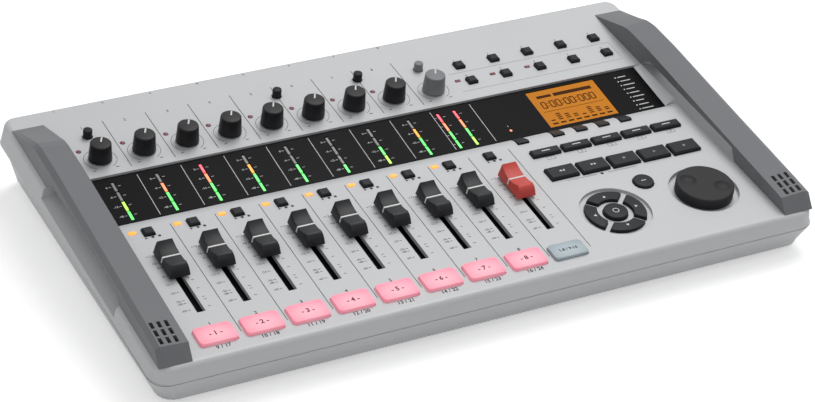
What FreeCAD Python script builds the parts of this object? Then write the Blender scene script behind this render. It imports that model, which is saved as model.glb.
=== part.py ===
import FreeCAD, Part
import math
import os
import Sketcher

V = FreeCAD.Vector
X_AXIS = V(1, 0, 0)

# The recorder lies on its feet with the front towards -Y. The control panel falls towards
# the user by wedge_angle. Most sizes are taken in the frame of that panel: x to the right
# from the middle, y up the slope from the front end of the channel lines, z out of the panel.
# Columns of controls are numbered from the left, and column 8 is the master.

SIZES = {
    # Case
    "wedge_angle": 4.5,
    "panel_height": 26.3,
    "panel_setback": 94.44,
    "seam_angle": 1.09,
    "seam_drop": 8.9,
    "case_half_width": 188.0,
    "panel_half_width": 185.9,
    "side_draft": 10.5,
    "case_front": 15.0,
    "case_rear": 202.3,
    "panel_front": 13.35,
    "panel_rear": 200.0,
    "case_wall": 2.5,
    "panel_cut": 3.0,
    "dish_cut": 12.0,
    "front_corner": 9.0,
    "rear_corner": 6.5,
    "hollow_corner": 4.0,
    "shadow_gap": 0.5,
    "shadow_depth": 1.0,
    "panel_edge_round": 3.4,
    "foot_height": 4.0,
    "band_height": 10.5,
    "band_inset": 5.0,
    "band_front_inset": 3.0,
    "deep_level": 26.0,
    "deep_inset": 9.2,
    "deep_front_inset": 5.0,
    "hollow_half_width": 176.5,
    "hollow_front": -102.2,
    "hollow_rear": 105.2,
    "foot_radius": 7.0,
    "post_radius": 4.0,
    "post_bore": 1.7,
    "boss_bore": 1.3,
    "seat_radius": 3.3,
    "head_radius": 3.0,
    "screw_radius": 1.25,
    # Columns
    "channel_pitch": 24.2,
    "first_column": -149.5,
    # Faders
    "fader_rest": 58.2,
    "slot_front": 20.3,
    "slot_length": 51.4,
    "slot_width": 4.4,
    "cap_width": 11.6,
    "cap_top_width": 8.4,
    "cap_rear": 10.3,
    "cap_front": 11.7,
    "cap_height": 8.6,
    "cap_saddle": 5.7,
    "cap_saddle_front": 3.6,
    "cap_front_height": 7.6,
    "cap_nose": 6.7,
    "cap_chin": 4.6,
    "cap_gap": 1.2,
    "stem_thickness": 1.2,
    "stem_length": 5.0,
    "stem_depth": 6.6,
    # Rotary controls
    "knob_row": 150.0,
    "knob_shift": -1.0,
    "knob_radius": 6.2,
    "knob_top": 10.6,
    "knob_gap": 0.7,
    "knob_bevel": 0.7,
    "pointer_width": 0.9,
    "pointer_depth": 0.3,
    "shaft_radius": 3.0,
    "shaft_hole": 3.6,
    "pointer_turn": 27.0,
    "dial_x": 138.4,
    "dial_y": 22.5,
    "dial_radius": 15.65,
    "dial_top": 4.3,
    "dial_recess": 19.0,
    "dial_recess_depth": 2.2,
    "dial_bevel": 1.2,
    "dial_shaft": 7.0,
    "dimple_offset": 9.3,
    "dimple_depth": 1.2,
    "dimple_floor": 3.4,
    "dimple_bevel": 1.1,
    # Keys
    "key_gap": 0.35,
    "key_root": 3.2,
    "flange_height": 1.2,
    "key_reach": 0.8,
    "pad_row": 2.0,
    "pad_shift": -0.7,
    "pad_width": 19.4,
    "pad_depth": 12.2,
    "pad_proud": 1.6,
    "pad_corner": 0.95,
    "key_bevel": 0.6,
    "stop_width": 19.0,
    "stop_depth": 10.8,
    "stop_row": 1.2,
    "stop_x": 43.0,
    "track_row": 85.6,
    "track_shift": -0.8,
    "track_size": 5.6,
    "track_proud": 1.7,
    "large_x": 73.0,
    "large_row": 60.0,
    "large_pitch": 18.65,
    "large_drop": 0.45,
    "large_width": 16.6,
    "large_depth": 9.4,
    "large_proud": 2.0,
    "wide_x": 73.5,
    "wide_row": 78.7,
    "wide_pitch": 18.8,
    "wide_width": 16.8,
    "wide_depth": 5.4,
    "wide_proud": 2.0,
    "function_x": 67.6,
    "function_pitch": 21.65,
    "function_front_row": 151.3,
    "function_rear_row": 166.5,
    "function_size": 5.4,
    "function_proud": 2.0,
    "key_lamp_x": 60.1,
    "key_lamp_pitch": 21.9,
    "key_lamp_row": 153.6,
    "key_lamp_width": 3.1,
    "key_lamp_depth": 1.7,
    "track_lamp_shift": -8.7,
    "track_lamp_row": 87.2,
    "track_lamp_width": 3.9,
    "track_lamp_depth": 2.2,
    "clip_lamp_shift": -9.2,
    "clip_lamp_row": 159.5,
    "clip_lamp_radius": 1.25,
    "lamp_gap": 0.15,
    "lamp_proud": 0.4,
    "lamp_length": 3.6,
    "soft_row": 93.6,
    "soft_width": 6.6,
    "soft_depth": 7.2,
    "exit_x": 110.6,
    "exit_y": 38.8,
    "exit_radius": 5.6,
    "exit_proud": 1.4,
    "cursor_x": 83.8,
    "cursor_y": 22.0,
    "cursor_dish": 19.4,
    "cursor_depth": 1.6,
    "cursor_outer": 16.4,
    "cursor_inner": 9.9,
    "cursor_spoke": 1.5,
    "cursor_top": 0.2,
    "enter_radius": 6.5,
    "switch_radius": 2.45,
    "switch_top": 4.6,
    # Sunk display strip
    "strip_left": -167.3,
    "strip_right": 162.9,
    "cheek_right": 168.4,
    "strip_rear": 135.8,
    "strip_front": 100.15,
    "lip_start": 91.0,
    "lip_radius": 11.0,
    "lip_drop": 4.9,
    "window_front_drop": 4.03,
    "window_rear_drop": 1.22,
    "window_thickness": 2.0,
    "lcd_x": 112.9,
    "lcd_width": 43.4,
    "lcd_front": 102.6,
    "lcd_length": 30.6,
    "meter_shift": -1.8,
    "meter_front": 99.6,
    "meter_length": 30.0,
    "meter_width": 2.0,
    "master_meter_x": 36.0,
    "master_meter_gap": 10.0,
    # Side grips
    "grip_inner": 167.5,
    "grip_outer": 184.7,
    "grip_crest": 182.1,
    "arch_front": 38.0,
    "arch_rear": 137.0,
    "arch_height": 6.5,
    "ramp_drop": 8.0,
    "mic_pitch": 3.85,
    "mic_width": 1.9,
    "mic_length": 4.4,
    "mic_row_pitch": 5.6,
    # Rear sockets
    "rear_window_half": 176.0,
    "rear_panel_low": 9.4,
    "rear_panel_high": 35.0,
    "rear_panel_face": 104.9,
    "rear_panel_thickness": 2.0,
    "socket_height": 22.3,
    "first_input": -158.3,
    "input_pitch": 27.2,
    "socket_radius": 11.6,
    "socket_depth": 25.0,
    "socket_proud": 1.0,
    "socket_gap": 0.3,
    "line_radius": 6.0,
    "inlet_radius": 3.9,
    "inlet_bore": 2.8,
    "inlet_pin": 1.0,
    "jack_radius": 3.25,
    "jack_length": 20.0,
    "phones_x": 68.5,
    "output_x": 112.9,
    "output_spread": 9.5,
    "power_x": 149.8,
    "dc_x": 167.2,
    # Boards and battery bay
    "board_top": 10.4,
    "track_top": 6.9,
    "board_thickness": 1.6,
    "bay_half_width": 52.5,
    "bay_front": 17.0,
    "bay_length": 46.0,
    "bay_height": 15.6,
    "bay_skin": 1.2,
    # Right side bay
    "side_bay_front": 74.0,
    "side_bay_length": 74.0,
    "side_bay_top": 1.6,
    "side_bay_height": 12.0,
    "side_bay_depth": 9.5,
    "card_place": 55.5,
    "card_slot": 25.0,
    "card_slot_height": 3.2,
    "side_socket_length": 16.0,
    "door_pin": 0.75,
    "battery_pin": 0.55,
}

SOFT_KEY_X = (66.6, 88.6, 103.0, 116.8, 130.7)
SWITCH_PLACES = (
    ("hi_z_switch", -149.5, 170.5),
    ("phantom_switch_left", -40.6, 172.5),
    ("phantom_switch_right", 7.8, 172.5),
    ("phones_level_switch", 44.1, 170.5),
)
FOOT_PLACES = ((-165.0, -88.0), (165.0, -88.0), (-165.0, 88.0), (165.0, 88.0))
BOSS_PLACES = ((-172.0, -5.5), (172.0, -5.5), (-172.0, 168.0), (172.0, 168.0))
# Computer sockets in the side bay: distance from its front end, width and height
SIDE_PORTS = ((12.5, 13.4, 6.2), (33.0, 12.4, 10.6))
TRANSPORT = ("rewind", "forward", "stop", "play", "record")
FADERS = 8
COLUMNS = 9
KEYS_IN_ROW = 5
KEY_LAMPS = 3
MASTER_METERS = 2
CURSOR_KEYS = 4
LINE_SOCKETS = 4
# How many flats stand for a round form that repeats or lies hidden
HIDDEN_SIDES = 6
SMALL_SIDES = 8
SOCKET_SIDES = 8
JACK_HOLE_SIDES = 16
KNOB_SIDES = 12
KEY_SIDES = 16
DIMPLE_SIDES = 12
DIAL_SIDES = 30
ARC_CHORDS = 5


class Size:
    """A length that remembers the spreadsheet expression it comes from."""

    def __init__(self, value, text):
        self.value = value
        self.text = text

    def __add__(self, other):
        other = as_size(other)
        return Size(self.value + other.value, f"({self.text} + {other.text})")

    def __sub__(self, other):
        other = as_size(other)
        return Size(self.value - other.value, f"({self.text} - {other.text})")

    def __mul__(self, other):
        other = as_size(other)
        return Size(self.value * other.value, f"({self.text} * {other.text})")

    def __truediv__(self, other):
        other = as_size(other)
        return Size(self.value / other.value, f"({self.text} / {other.text})")

    def __neg__(self):
        return Size(-self.value, f"(0 - {self.text})")

    def __radd__(self, other):
        return as_size(other) + self

    def __rsub__(self, other):
        return as_size(other) - self

    def __rmul__(self, other):
        return as_size(other) * self


def as_size(number):
    """A plain number as a Size."""
    if isinstance(number, Size):
        return number
    return Size(float(number), f"({number})")


class Sheet:
    """The driving dimensions, read by their aliases."""

    def __init__(self, doc, sizes):
        cells = doc.addObject("Spreadsheet::Sheet", "Sizes")
        for row, (alias, number) in enumerate(sizes.items(), start=1):
            cells.set(f"A{row}", alias)
            cells.set(f"B{row}", str(number))
            cells.setAlias(f"B{row}", alias)
        doc.recompute()
        self.cells = cells

    def __getattr__(self, alias):
        return Size(float(self.cells.get(alias)), f"Sizes.{alias}")


doc = FreeCAD.newDocument("MultitrackRecorder")
S = Sheet(doc, SIZES)
PARTS = []

TILT = FreeCAD.Rotation(X_AXIS, S.wedge_angle.value)
PANEL = FreeCAD.Placement(V(0, -S.panel_setback.value, S.panel_height.value), TILT)
SEAM = PANEL * FreeCAD.Placement(
    V(0, -S.case_front.value, -S.seam_drop.value),
    FreeCAD.Rotation(X_AXIS, -S.seam_angle.value),
)
BASE = FreeCAD.Placement()


# Drawing helpers

def new_body(label, frame=PANEL, at=(0, 0, 0), turn=0.0):
    """An empty body in a frame, shifted and turned about the frame's own z."""
    body = doc.addObject("PartDesign::Body", label)
    body.Label = label
    shift = V(*[as_size(number).value for number in at])
    local = FreeCAD.Placement(shift, FreeCAD.Rotation(V(0, 0, 1), turn))
    body.Placement = frame * local
    PARTS.append(body)
    return body


def new_sketch(body, name, plane="XY", offset=0.0):
    """A sketch on one of the body's own origin planes, moved along its normal."""
    sketch = body.newObject("Sketcher::SketchObject", f"{body.Name}_{name}")
    role = f"{plane}_Plane"
    support = [item for item in body.Origin.OriginFeatures if item.Role == role][0]
    offset = as_size(offset)
    sketch.AttachmentSupport = [(support, "")]
    sketch.MapMode = "FlatFace"
    sketch.AttachmentOffset = FreeCAD.Placement(V(0, 0, offset.value), FreeCAD.Rotation())
    sketch.setExpression(".AttachmentOffset.Base.z", offset.text)
    return sketch


def move_sketch(sketch, x=0.0, y=0.0):
    """Moves a sketch within its plane, so that its own axes meet where they are wanted."""
    x, y = as_size(x), as_size(y)
    offset = sketch.AttachmentOffset
    sketch.AttachmentOffset = FreeCAD.Placement(V(x.value, y.value, offset.Base.z), offset.Rotation)
    sketch.setExpression(".AttachmentOffset.Base.x", x.text)
    sketch.setExpression(".AttachmentOffset.Base.y", y.text)
    return sketch


def add_sized(sketch, pairs):
    """Adds constraints in one go; each comes with the size that drives it, or with None."""
    first = sketch.ConstraintCount
    sketch.addConstraint([constraint for constraint, _ in pairs])
    for number, (_, size) in enumerate(pairs, start=first):
        if size is not None:
            sketch.setExpression(f"Constraints[{number}]", size.text)


def pinned(edge, end, x, y):
    """The two constraints that fix one end of an edge at a place given by sizes."""
    return [
        (Sketcher.Constraint(kind, -1, 1, edge, end, size.value), size)
        for kind, size in (("DistanceX", x), ("DistanceY", y))
    ]


def arc_between(start, end, bulge):
    """The minor arc from start to end; a positive radius bulges to the right of the way."""
    chord = end - start
    radius = abs(bulge)
    rise = math.sqrt(max(radius * radius - chord.Length * chord.Length / 4.0, 0.0))
    side = V(-chord.y, chord.x, 0).normalize() * (1 if bulge > 0 else -1)
    centre = (start + end) * 0.5 + side * rise
    first, last = (start, end) if bulge > 0 else (end, start)
    angles = [math.atan2(point.y - centre.y, point.x - centre.x) for point in (first, last)]
    if angles[1] < angles[0]:
        angles[1] += 2 * math.pi
    return Part.ArcOfCircle(Part.Circle(centre, V(0, 0, 1), radius), angles[0], angles[1])


def outline(sketch, corners):
    """A closed outline. A corner with a third value starts an arc of that radius."""
    corners = [tuple(as_size(number) for number in corner) for corner in corners]
    first = sketch.GeometryCount
    count = len(corners)
    edges = []
    for index, corner in enumerate(corners):
        after = corners[(index + 1) % count]
        start = V(corner[0].value, corner[1].value, 0)
        end = V(after[0].value, after[1].value, 0)
        if len(corner) == 3:
            edges.append(arc_between(start, end, corner[2].value))
        else:
            edges.append(Part.LineSegment(start, end))
    sketch.addGeometry(edges, False)
    ends = [edge_ends(corner) for corner in corners]
    pairs = []
    for index, corner in enumerate(corners):
        edge = first + index
        after = (index + 1) % count
        pairs.append((Sketcher.Constraint(
            "Coincident", edge, ends[index][1], first + after, ends[after][0]
        ), None))
        pairs.extend(pinned(edge, ends[index][0], corner[0], corner[1]))
        if len(corner) == 3:
            radius = corner[2] if corner[2].value > 0 else -corner[2]
            pairs.append((Sketcher.Constraint("Radius", edge, radius.value), radius))
    add_sized(sketch, pairs)
    return sketch


def edge_ends(corner):
    """Which stored ends are the start and end of the way; an inward arc runs backwards."""
    inward = len(corner) == 3 and corner[2].value < 0
    return (2, 1) if inward else (1, 2)


def box_outline(sketch, x, y, width, depth, cut=None):
    """A rectangle about a centre, with its corners cut off when a length is given."""
    x, y, width, depth = (as_size(number) for number in (x, y, width, depth))
    low_x, high_x = x - width / 2, x + width / 2
    low_y, high_y = y - depth / 2, y + depth / 2
    if cut is None:
        corners = [(low_x, low_y), (high_x, low_y), (high_x, high_y), (low_x, high_y)]
        return outline(sketch, corners)
    c = as_size(cut)
    return outline(sketch, [
        (low_x + c, low_y), (high_x - c, low_y), (high_x, low_y + c), (high_x, high_y - c),
        (high_x - c, high_y), (low_x + c, high_y), (low_x, high_y - c), (low_x, low_y + c),
    ])


def polygon(sketch, x, y, radius, sides):
    """A regular polygon about a centre, whose corners lie on a circle of the radius."""
    x, y, radius = (as_size(number) for number in (x, y, radius))
    turns = [2 * math.pi * (number + 0.5) / sides for number in range(sides)]
    return outline(sketch, [
        (x + radius * math.cos(turn), y + radius * math.sin(turn)) for turn in turns
    ])


def polygon_hole(sketch, x, y, radius, sides):
    """A regular polygon about a centre that leaves room for a circle of the radius."""
    return polygon(sketch, x, y, as_size(radius) / math.cos(math.pi / sides), sides)


def circle(sketch, x, y, radius):
    """A circle placed and sized by the sheet."""
    x, y, radius = (as_size(number) for number in (x, y, radius))
    edge = sketch.addGeometry(
        Part.Circle(V(x.value, y.value, 0), V(0, 0, 1), radius.value), False
    )
    size = (Sketcher.Constraint("Radius", edge, radius.value), radius)
    add_sized(sketch, pinned(edge, 3, x, y) + [size])
    return sketch


def pad(body, sketch, length, reverse=False, both=False, taper=None):
    """Adds the sketch's outline, along its normal."""
    feature = body.newObject("PartDesign::Pad", f"{sketch.Name}_pad")
    return finish_prism(feature, sketch, length, reverse, both, taper)


def pocket(body, sketch, length, reverse=False, both=False, taper=None):
    """Cuts the sketch's outline, against its normal, and tests that it took something away."""
    doc.recompute()
    before = body.Shape.Volume
    feature = body.newObject("PartDesign::Pocket", f"{sketch.Name}_cut")
    finish_prism(feature, sketch, length, reverse, both, taper)
    doc.recompute()
    if not body.Shape.Volume < before - 1e-3:
        raise ValueError(f"{feature.Name} cuts nothing")
    return feature


def finish_prism(feature, sketch, length, reverse, both, taper):
    """Sets what a pad and a pocket share."""
    feature.Profile = sketch
    feature.Length = as_size(length).value
    feature.setExpression("Length", as_size(length).text)
    feature.Reversed = reverse
    if both:
        feature.SideType = "Symmetric"
    if taper is not None:
        feature.TaperAngle = as_size(taper).value
        feature.setExpression("TaperAngle", as_size(taper).text)
    return feature


def loft(body, kind, sketches):
    """A ruled loft through sketches: kind is Additive or Subtractive."""
    feature = body.newObject(f"PartDesign::{kind}Loft", f"{sketches[0].Name}_loft")
    feature.Profile = sketches[0]
    feature.Sections = sketches[1:]
    feature.Ruled = True
    doc.recompute()
    return feature


def repeat(body, features, sketch, axis, pitch, count):
    """A row of copies along one of the sketch's axes."""
    pattern = body.newObject("PartDesign::LinearPattern", f"{features[0].Name}_row")
    pattern.Originals = features
    pattern.Direction = (sketch, [axis])
    length = as_size(pitch) * (count - 1)
    pattern.Length = length.value
    pattern.setExpression("Length", length.text)
    pattern.Occurrences = count
    body.Tip = pattern
    doc.recompute()
    return pattern


def around(body, features, sketch, count):
    """Copies round the normal of a sketch."""
    pattern = body.newObject("PartDesign::PolarPattern", f"{features[0].Name}_ring")
    pattern.Originals = features
    pattern.Axis = (sketch, ["N_Axis"])
    pattern.Angle = 360.0
    pattern.Occurrences = count
    body.Tip = pattern
    doc.recompute()
    return pattern


def mirrored(body, features):
    """The same features on the other side of the middle plane."""
    copy = body.newObject("PartDesign::Mirrored", f"{features[0].Name}_mirror")
    copy.Originals = features
    plane = [item for item in body.Origin.OriginFeatures if item.Role == "YZ_Plane"][0]
    copy.MirrorPlane = (plane, [""])
    body.Tip = copy
    doc.recompute()
    return copy


def round_edges(body, radius, wanted):
    """A fillet on the edges of the body's last feature that the test accepts."""
    doc.recompute()
    base = body.Tip
    names = [
        f"Edge{number}" for number, edge in enumerate(base.Shape.Edges, start=1) if wanted(edge)
    ]
    feature = body.newObject("PartDesign::Fillet", f"{base.Name}_round")
    feature.Base = (base, names)
    feature.Radius = as_size(radius).value
    feature.setExpression("Radius", as_size(radius).text)
    doc.recompute()
    return feature


def edges_at_height(height, tolerance=0.02):
    """A test for edges that lie in one level of the body."""
    level = as_size(height).value

    def wanted(edge):
        box = edge.BoundBox
        return abs(box.ZMin - level) < tolerance and abs(box.ZMax - level) < tolerance

    return wanted


def edges_about(middle, radius):
    """A test for edges in the level of a point and within a radius of it."""
    level = edges_at_height(middle.z)

    def wanted(edge):
        return level(edge) and edge.CenterOfMass.distanceToPoint(middle) < as_size(radius).value

    return wanted


# Case shells

def plan_outline(sketch, half_width, front, rear, shrink=0.0):
    """The recorder's plan: a wide rectangle with larger round corners in front."""
    half_width, front, rear = (as_size(number) for number in (half_width, front, rear))
    a, b = S.front_corner - shrink, S.rear_corner - shrink
    return outline(sketch, [
        (a - half_width, front), (half_width - a, front, a),
        (half_width, front + a), (half_width, rear - b, b),
        (half_width - b, rear), (b - half_width, rear, b),
        (-half_width, rear - b), (-half_width, front + a, a),
    ])


def chorded_plan(sketch, half_width, front, rear):
    """The same plan with its round corners as short chords, which keeps tapered walls flat."""
    half_width, front, rear = (as_size(number).value for number in (half_width, front, rear))
    points = []
    for quarter, (x, y, corner) in enumerate((
        (half_width, front, S.front_corner), (half_width, rear, S.rear_corner),
        (-half_width, rear, S.rear_corner), (-half_width, front, S.front_corner),
    )):
        radius = corner.value
        centre_x = x - math.copysign(radius, x)
        centre_y = y + radius if y == front else y - radius
        for number in range(ARC_CHORDS + 1):
            turn = math.radians(90 * (quarter - 1 + number / ARC_CHORDS))
            points.append((centre_x + radius * math.cos(turn), centre_y + radius * math.sin(turn)))
    return outline(sketch, points)


def hollow_outline(sketch, half_width, front, rear):
    """The plan of the inside, whose corners are cut off straight."""
    half_width, front, rear = (as_size(number) for number in (half_width, front, rear))
    return box_outline(sketch, 0, (front + rear) / 2, 2 * half_width, rear - front,
                       S.hollow_corner)


def cut_below_seam(body):
    """Takes off what lies below the seam, whose plane leans a little against the panel."""
    region = new_sketch(body, "below_seam", "YZ")
    front, rear = -S.case_front - 5, S.case_rear + 5
    slope = math.tan(math.radians(S.seam_angle.value))
    outline(region, [
        (front, -S.seam_drop + 5 * slope), (front, -40.0), (rear, -40.0),
        (rear, -S.seam_drop - slope * (S.case_rear + S.case_front + 5)),
    ])
    pocket(body, region, 2 * S.case_half_width + 20, both=True)


def make_top_case():
    """The moulded upper shell with the panel, its sunk strip, dishes and openings."""
    body = new_body("top_case")
    wall = S.case_wall
    face = new_sketch(body, "face")
    plan_outline(face, S.panel_half_width, -S.panel_front, S.panel_rear)
    pad(body, face, 16, reverse=True, taper=S.side_draft)
    round_edges(body, S.panel_edge_round, edges_at_height(0))
    inside = new_sketch(body, "inside", offset=-wall)
    hollow_outline(inside, S.panel_half_width - wall + 0.4, wall - S.panel_front - 0.4,
                   S.panel_rear - wall + 0.4)
    pocket(body, inside, 15, taper=S.side_draft)
    cut_below_seam(body)
    cut_rear_opening(body)
    add_bosses(body)
    add_strip_recess(body)
    add_grip_ramps(body)
    add_control_dishes(body)
    cut_channel_openings(body)
    cut_key_openings(body)
    return body


def add_strip_recess(body):
    """The sunk tray of the display strip, entered over a rounded lip."""
    wall = S.case_wall
    ledge_front = S.window_front_drop + S.window_thickness
    ledge_rear = S.window_rear_drop + S.window_thickness
    tray = new_sketch(body, "tray", "YZ", S.strip_left - wall)
    outline(tray, [
        (S.lip_start - 3, -wall + 0.1), (S.lip_start + 1, -ledge_front - 2.6),
        (S.strip_front, -ledge_front - 2.6), (S.strip_rear + wall, -ledge_rear - 2),
        (S.strip_rear + wall, -wall + 0.1),
    ])
    pad(body, tray, S.cheek_right - S.strip_left + 2 * wall)
    recess = new_sketch(body, "recess", "YZ", S.strip_left)
    outline(recess, [
        (S.lip_start, 0.0, -S.lip_radius), (S.strip_front, -S.lip_drop),
        (S.strip_front, -ledge_front), (S.strip_rear, -ledge_rear),
        (S.strip_rear, 1.0), (S.lip_start, 1.0),
    ])
    pocket(body, recess, S.strip_right - S.strip_left, reverse=True)
    cheeks = []
    for name, along, drop in (("cheek_front", S.strip_front - 1, S.window_front_drop + 0.1),
                              ("cheek_rear", S.strip_rear, S.window_rear_drop)):
        cheek = new_sketch(body, name, "XZ", -along)
        outline(cheek, [
            (S.strip_right - 0.5, -drop), (S.strip_right, -drop),
            (S.cheek_right, 0.3), (S.strip_right - 0.5, 0.3),
        ])
        cheeks.append(cheek)
    loft(body, "Subtractive", cheeks)
    lip_end = new_sketch(body, "lip_end", "YZ", S.strip_right - 0.5)
    outline(lip_end, [
        (S.lip_start, 0.0, -S.lip_radius), (S.strip_front, -S.lip_drop + 1.1),
        (S.strip_front, 1.0), (S.lip_start, 1.0),
    ])
    pocket(body, lip_end, 3.4, reverse=True)
    apertures = new_sketch(body, "apertures", offset=-ledge_rear + 1)
    box_outline(apertures, S.lcd_x, S.lcd_front + S.lcd_length / 2,
                S.lcd_width + 2, S.lcd_length + 0.6)
    box_outline(apertures, S.first_column + S.channel_pitch * 4 - 1,
                S.meter_front + 1.8 + S.meter_length / 2, S.channel_pitch * 8.9, S.meter_length)
    pocket(body, apertures, 12)


def add_grip_ramps(body):
    """The hand hollows beside the panel, under the arches of the grips."""
    wall = S.case_wall
    inner, outer = S.grip_inner, S.case_half_width + 2
    ramp_front, ramp_rear = S.arch_front, S.arch_rear
    backing = new_sketch(body, "ramp_backing", "XZ", -ramp_rear - wall)
    outline(backing, [
        (inner + 0.2, -wall + 0.1), (inner + 0.2, -wall - 0.6),
        (outer - 5.2, -S.ramp_drop - wall + 0.4), (outer - 5.2, -wall + 0.1),
    ])
    block = pad(body, backing, ramp_rear - ramp_front + 2 * wall)
    ramp = new_sketch(body, "ramp", "XZ", -ramp_rear)
    outline(ramp, [(inner, 0.0), (outer, -S.ramp_drop), (outer, 3.0), (inner, 3.0)])
    cut = pocket(body, ramp, ramp_rear - ramp_front, reverse=True)
    mirrored(body, [block, cut])


def add_control_dishes(body):
    """The dishes of the dial and of the cursor keys."""
    wall = S.case_wall
    cups = new_sketch(body, "cups", offset=-wall + 0.1)
    polygon_hole(cups, S.dial_x, S.dial_y, S.dial_recess + 1.4, SOCKET_SIDES)
    polygon_hole(cups, S.cursor_x, S.cursor_y, S.cursor_dish + 1.4, SOCKET_SIDES)
    pad(body, cups, 2.3, reverse=True)
    dial_dish = new_sketch(body, "dial_dish")
    circle(dial_dish, S.dial_x, S.dial_y, S.dial_recess)
    pocket(body, dial_dish, S.dial_recess_depth)
    shaft = new_sketch(body, "dial_shaft_hole")
    polygon_hole(shaft, S.dial_x, S.dial_y, S.shaft_hole, HIDDEN_SIDES)
    pocket(body, shaft, S.dish_cut)
    dish = new_sketch(body, "cursor_dish")
    circle(dish, S.cursor_x, S.cursor_y, S.cursor_dish)
    pocket(body, dish, S.cursor_depth)
    hole = new_sketch(body, "enter_hole")
    polygon_hole(hole, S.cursor_x, S.cursor_y, S.enter_radius + S.key_gap, KEY_SIDES)
    pocket(body, hole, S.dish_cut)
    centre = move_sketch(new_sketch(body, "cursor_centre"), S.cursor_x, S.cursor_y)
    quarter_outline(centre, S.key_gap)
    quarter = pocket(body, centre, S.dish_cut)
    around(body, [quarter], centre, CURSOR_KEYS)


def quarter_outline(sketch, gap):
    """One arrow key's quarter of the ring, between straight spokes, grown by a gap."""
    outer = S.cursor_outer.value + as_size(gap).value
    inner = S.cursor_inner.value - as_size(gap).value
    half = S.cursor_spoke.value - as_size(gap).value
    points = []
    for radius, way in ((outer, 1), (inner, -1)):
        end = math.radians(45) - math.asin(half / radius)
        for number in range(ARC_CHORDS + 1):
            turn = way * end * (1 - 2 * number / ARC_CHORDS)
            points.append((radius * math.sin(turn), radius * math.cos(turn)))
    return outline(sketch, points)


def cut_channel_openings(body):
    """What every column has: a fader slot, a knob's hole, a pad, a track key and its lamps."""
    x = S.first_column
    gap, lamp_gap = 2 * S.key_gap, 2 * S.lamp_gap
    full = new_sketch(body, "column")
    box_outline(full, x, S.slot_front + S.slot_length / 2, S.slot_width, S.slot_length)
    box_outline(full, x + S.knob_shift, S.knob_row, 2 * S.shaft_hole, 2 * S.shaft_hole)
    box_outline(full, x + S.track_shift, S.track_row, S.track_size + gap, S.track_size + gap)
    cut = pocket(body, full, S.panel_cut)
    repeat(body, [cut], full, "H_Axis", S.channel_pitch, COLUMNS)
    inputs = new_sketch(body, "input_column")
    box_outline(inputs, x + S.pad_shift, S.pad_row, S.pad_width + gap, S.pad_depth + gap,
                S.pad_corner)
    box_outline(inputs, x + S.track_lamp_shift, S.track_lamp_row,
                S.track_lamp_width + lamp_gap, S.track_lamp_depth + lamp_gap)
    polygon_hole(inputs, x + S.clip_lamp_shift, S.clip_lamp_row,
                 S.clip_lamp_radius + S.lamp_gap, HIDDEN_SIDES)
    cut = pocket(body, inputs, S.panel_cut)
    repeat(body, [cut], inputs, "H_Axis", S.channel_pitch, FADERS)


def cut_key_openings(body):
    """The openings of the keys on the right and of the switches along the rear edge."""
    gap, lamp_gap = 2 * S.key_gap, 2 * S.lamp_gap
    keys = new_sketch(body, "key_openings")
    box_outline(keys, S.stop_x, S.stop_row, S.stop_width + gap, S.stop_depth + gap, S.pad_corner)
    polygon_hole(keys, S.exit_x, S.exit_y, S.exit_radius + S.key_gap, KEY_SIDES)
    for x, y in large_places():
        box_outline(keys, x, y, S.large_width + gap, S.large_depth + gap)
    for x, y in wide_places():
        box_outline(keys, x, y, S.wide_width + gap, S.wide_depth + gap)
    for x, y in function_places():
        box_outline(keys, x, y, S.function_size + gap, S.function_size + gap)
    for number in range(KEY_LAMPS):
        box_outline(keys, S.key_lamp_x + S.key_lamp_pitch * number, S.key_lamp_row,
                    S.key_lamp_width + lamp_gap, S.key_lamp_depth + lamp_gap)
    for _, x, y in SWITCH_PLACES:
        polygon_hole(keys, x, y, S.switch_radius + S.key_gap, SMALL_SIDES)
    pocket(body, keys, S.panel_cut)
    soft = new_sketch(body, "soft_key_openings", offset=1)
    for place in SOFT_KEY_X:
        box_outline(soft, place, S.soft_row, S.soft_width + gap, S.soft_depth + gap)
    pocket(body, soft, S.dish_cut)


def large_places():
    """The middles of the five transport keys, whose row falls a little to the right."""
    return [
        (S.large_x + S.large_pitch * number, S.large_row - S.large_drop * number)
        for number in range(KEYS_IN_ROW)
    ]


def wide_places():
    """The middles of the five wide keys."""
    return [(S.wide_x + S.wide_pitch * number, S.wide_row) for number in range(KEYS_IN_ROW)]


def function_places():
    """The middles of the ten small keys, in two rows."""
    return [
        (S.function_x + S.function_pitch * number, row)
        for number in range(KEYS_IN_ROW)
        for row in (S.function_front_row, S.function_rear_row)
    ]


def track_places():
    """The middles of the nine track keys."""
    return [
        (S.first_column + S.channel_pitch * column + S.track_shift, S.track_row)
        for column in range(COLUMNS)
    ]


def cut_rear_opening(body):
    """The upper half of the opening that the socket plate fills."""
    notch = new_sketch(body, "rear_notch", "XZ", -S.case_rear - 2)
    box_outline(notch, 0, -12.0, 2 * S.rear_window_half, 14.0)
    pocket(body, notch, 9, reverse=True)


def add_bosses(body):
    """Screw bosses that meet the posts of the lower shell."""
    bosses = new_sketch(body, "bosses", offset=-S.case_wall + 0.1)
    for place_x, place_y in BOSS_PLACES:
        polygon(bosses, place_x, place_y, S.post_radius, HIDDEN_SIDES)
    pad(body, bosses, S.seam_drop - S.case_wall - 0.4, reverse=True)
    bores = new_sketch(body, "boss_bores", offset=-S.case_wall)
    for place_x, place_y in BOSS_PLACES:
        polygon_hole(bores, place_x, place_y, S.boss_bore, HIDDEN_SIDES)
    pocket(body, bores, 9)


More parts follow.
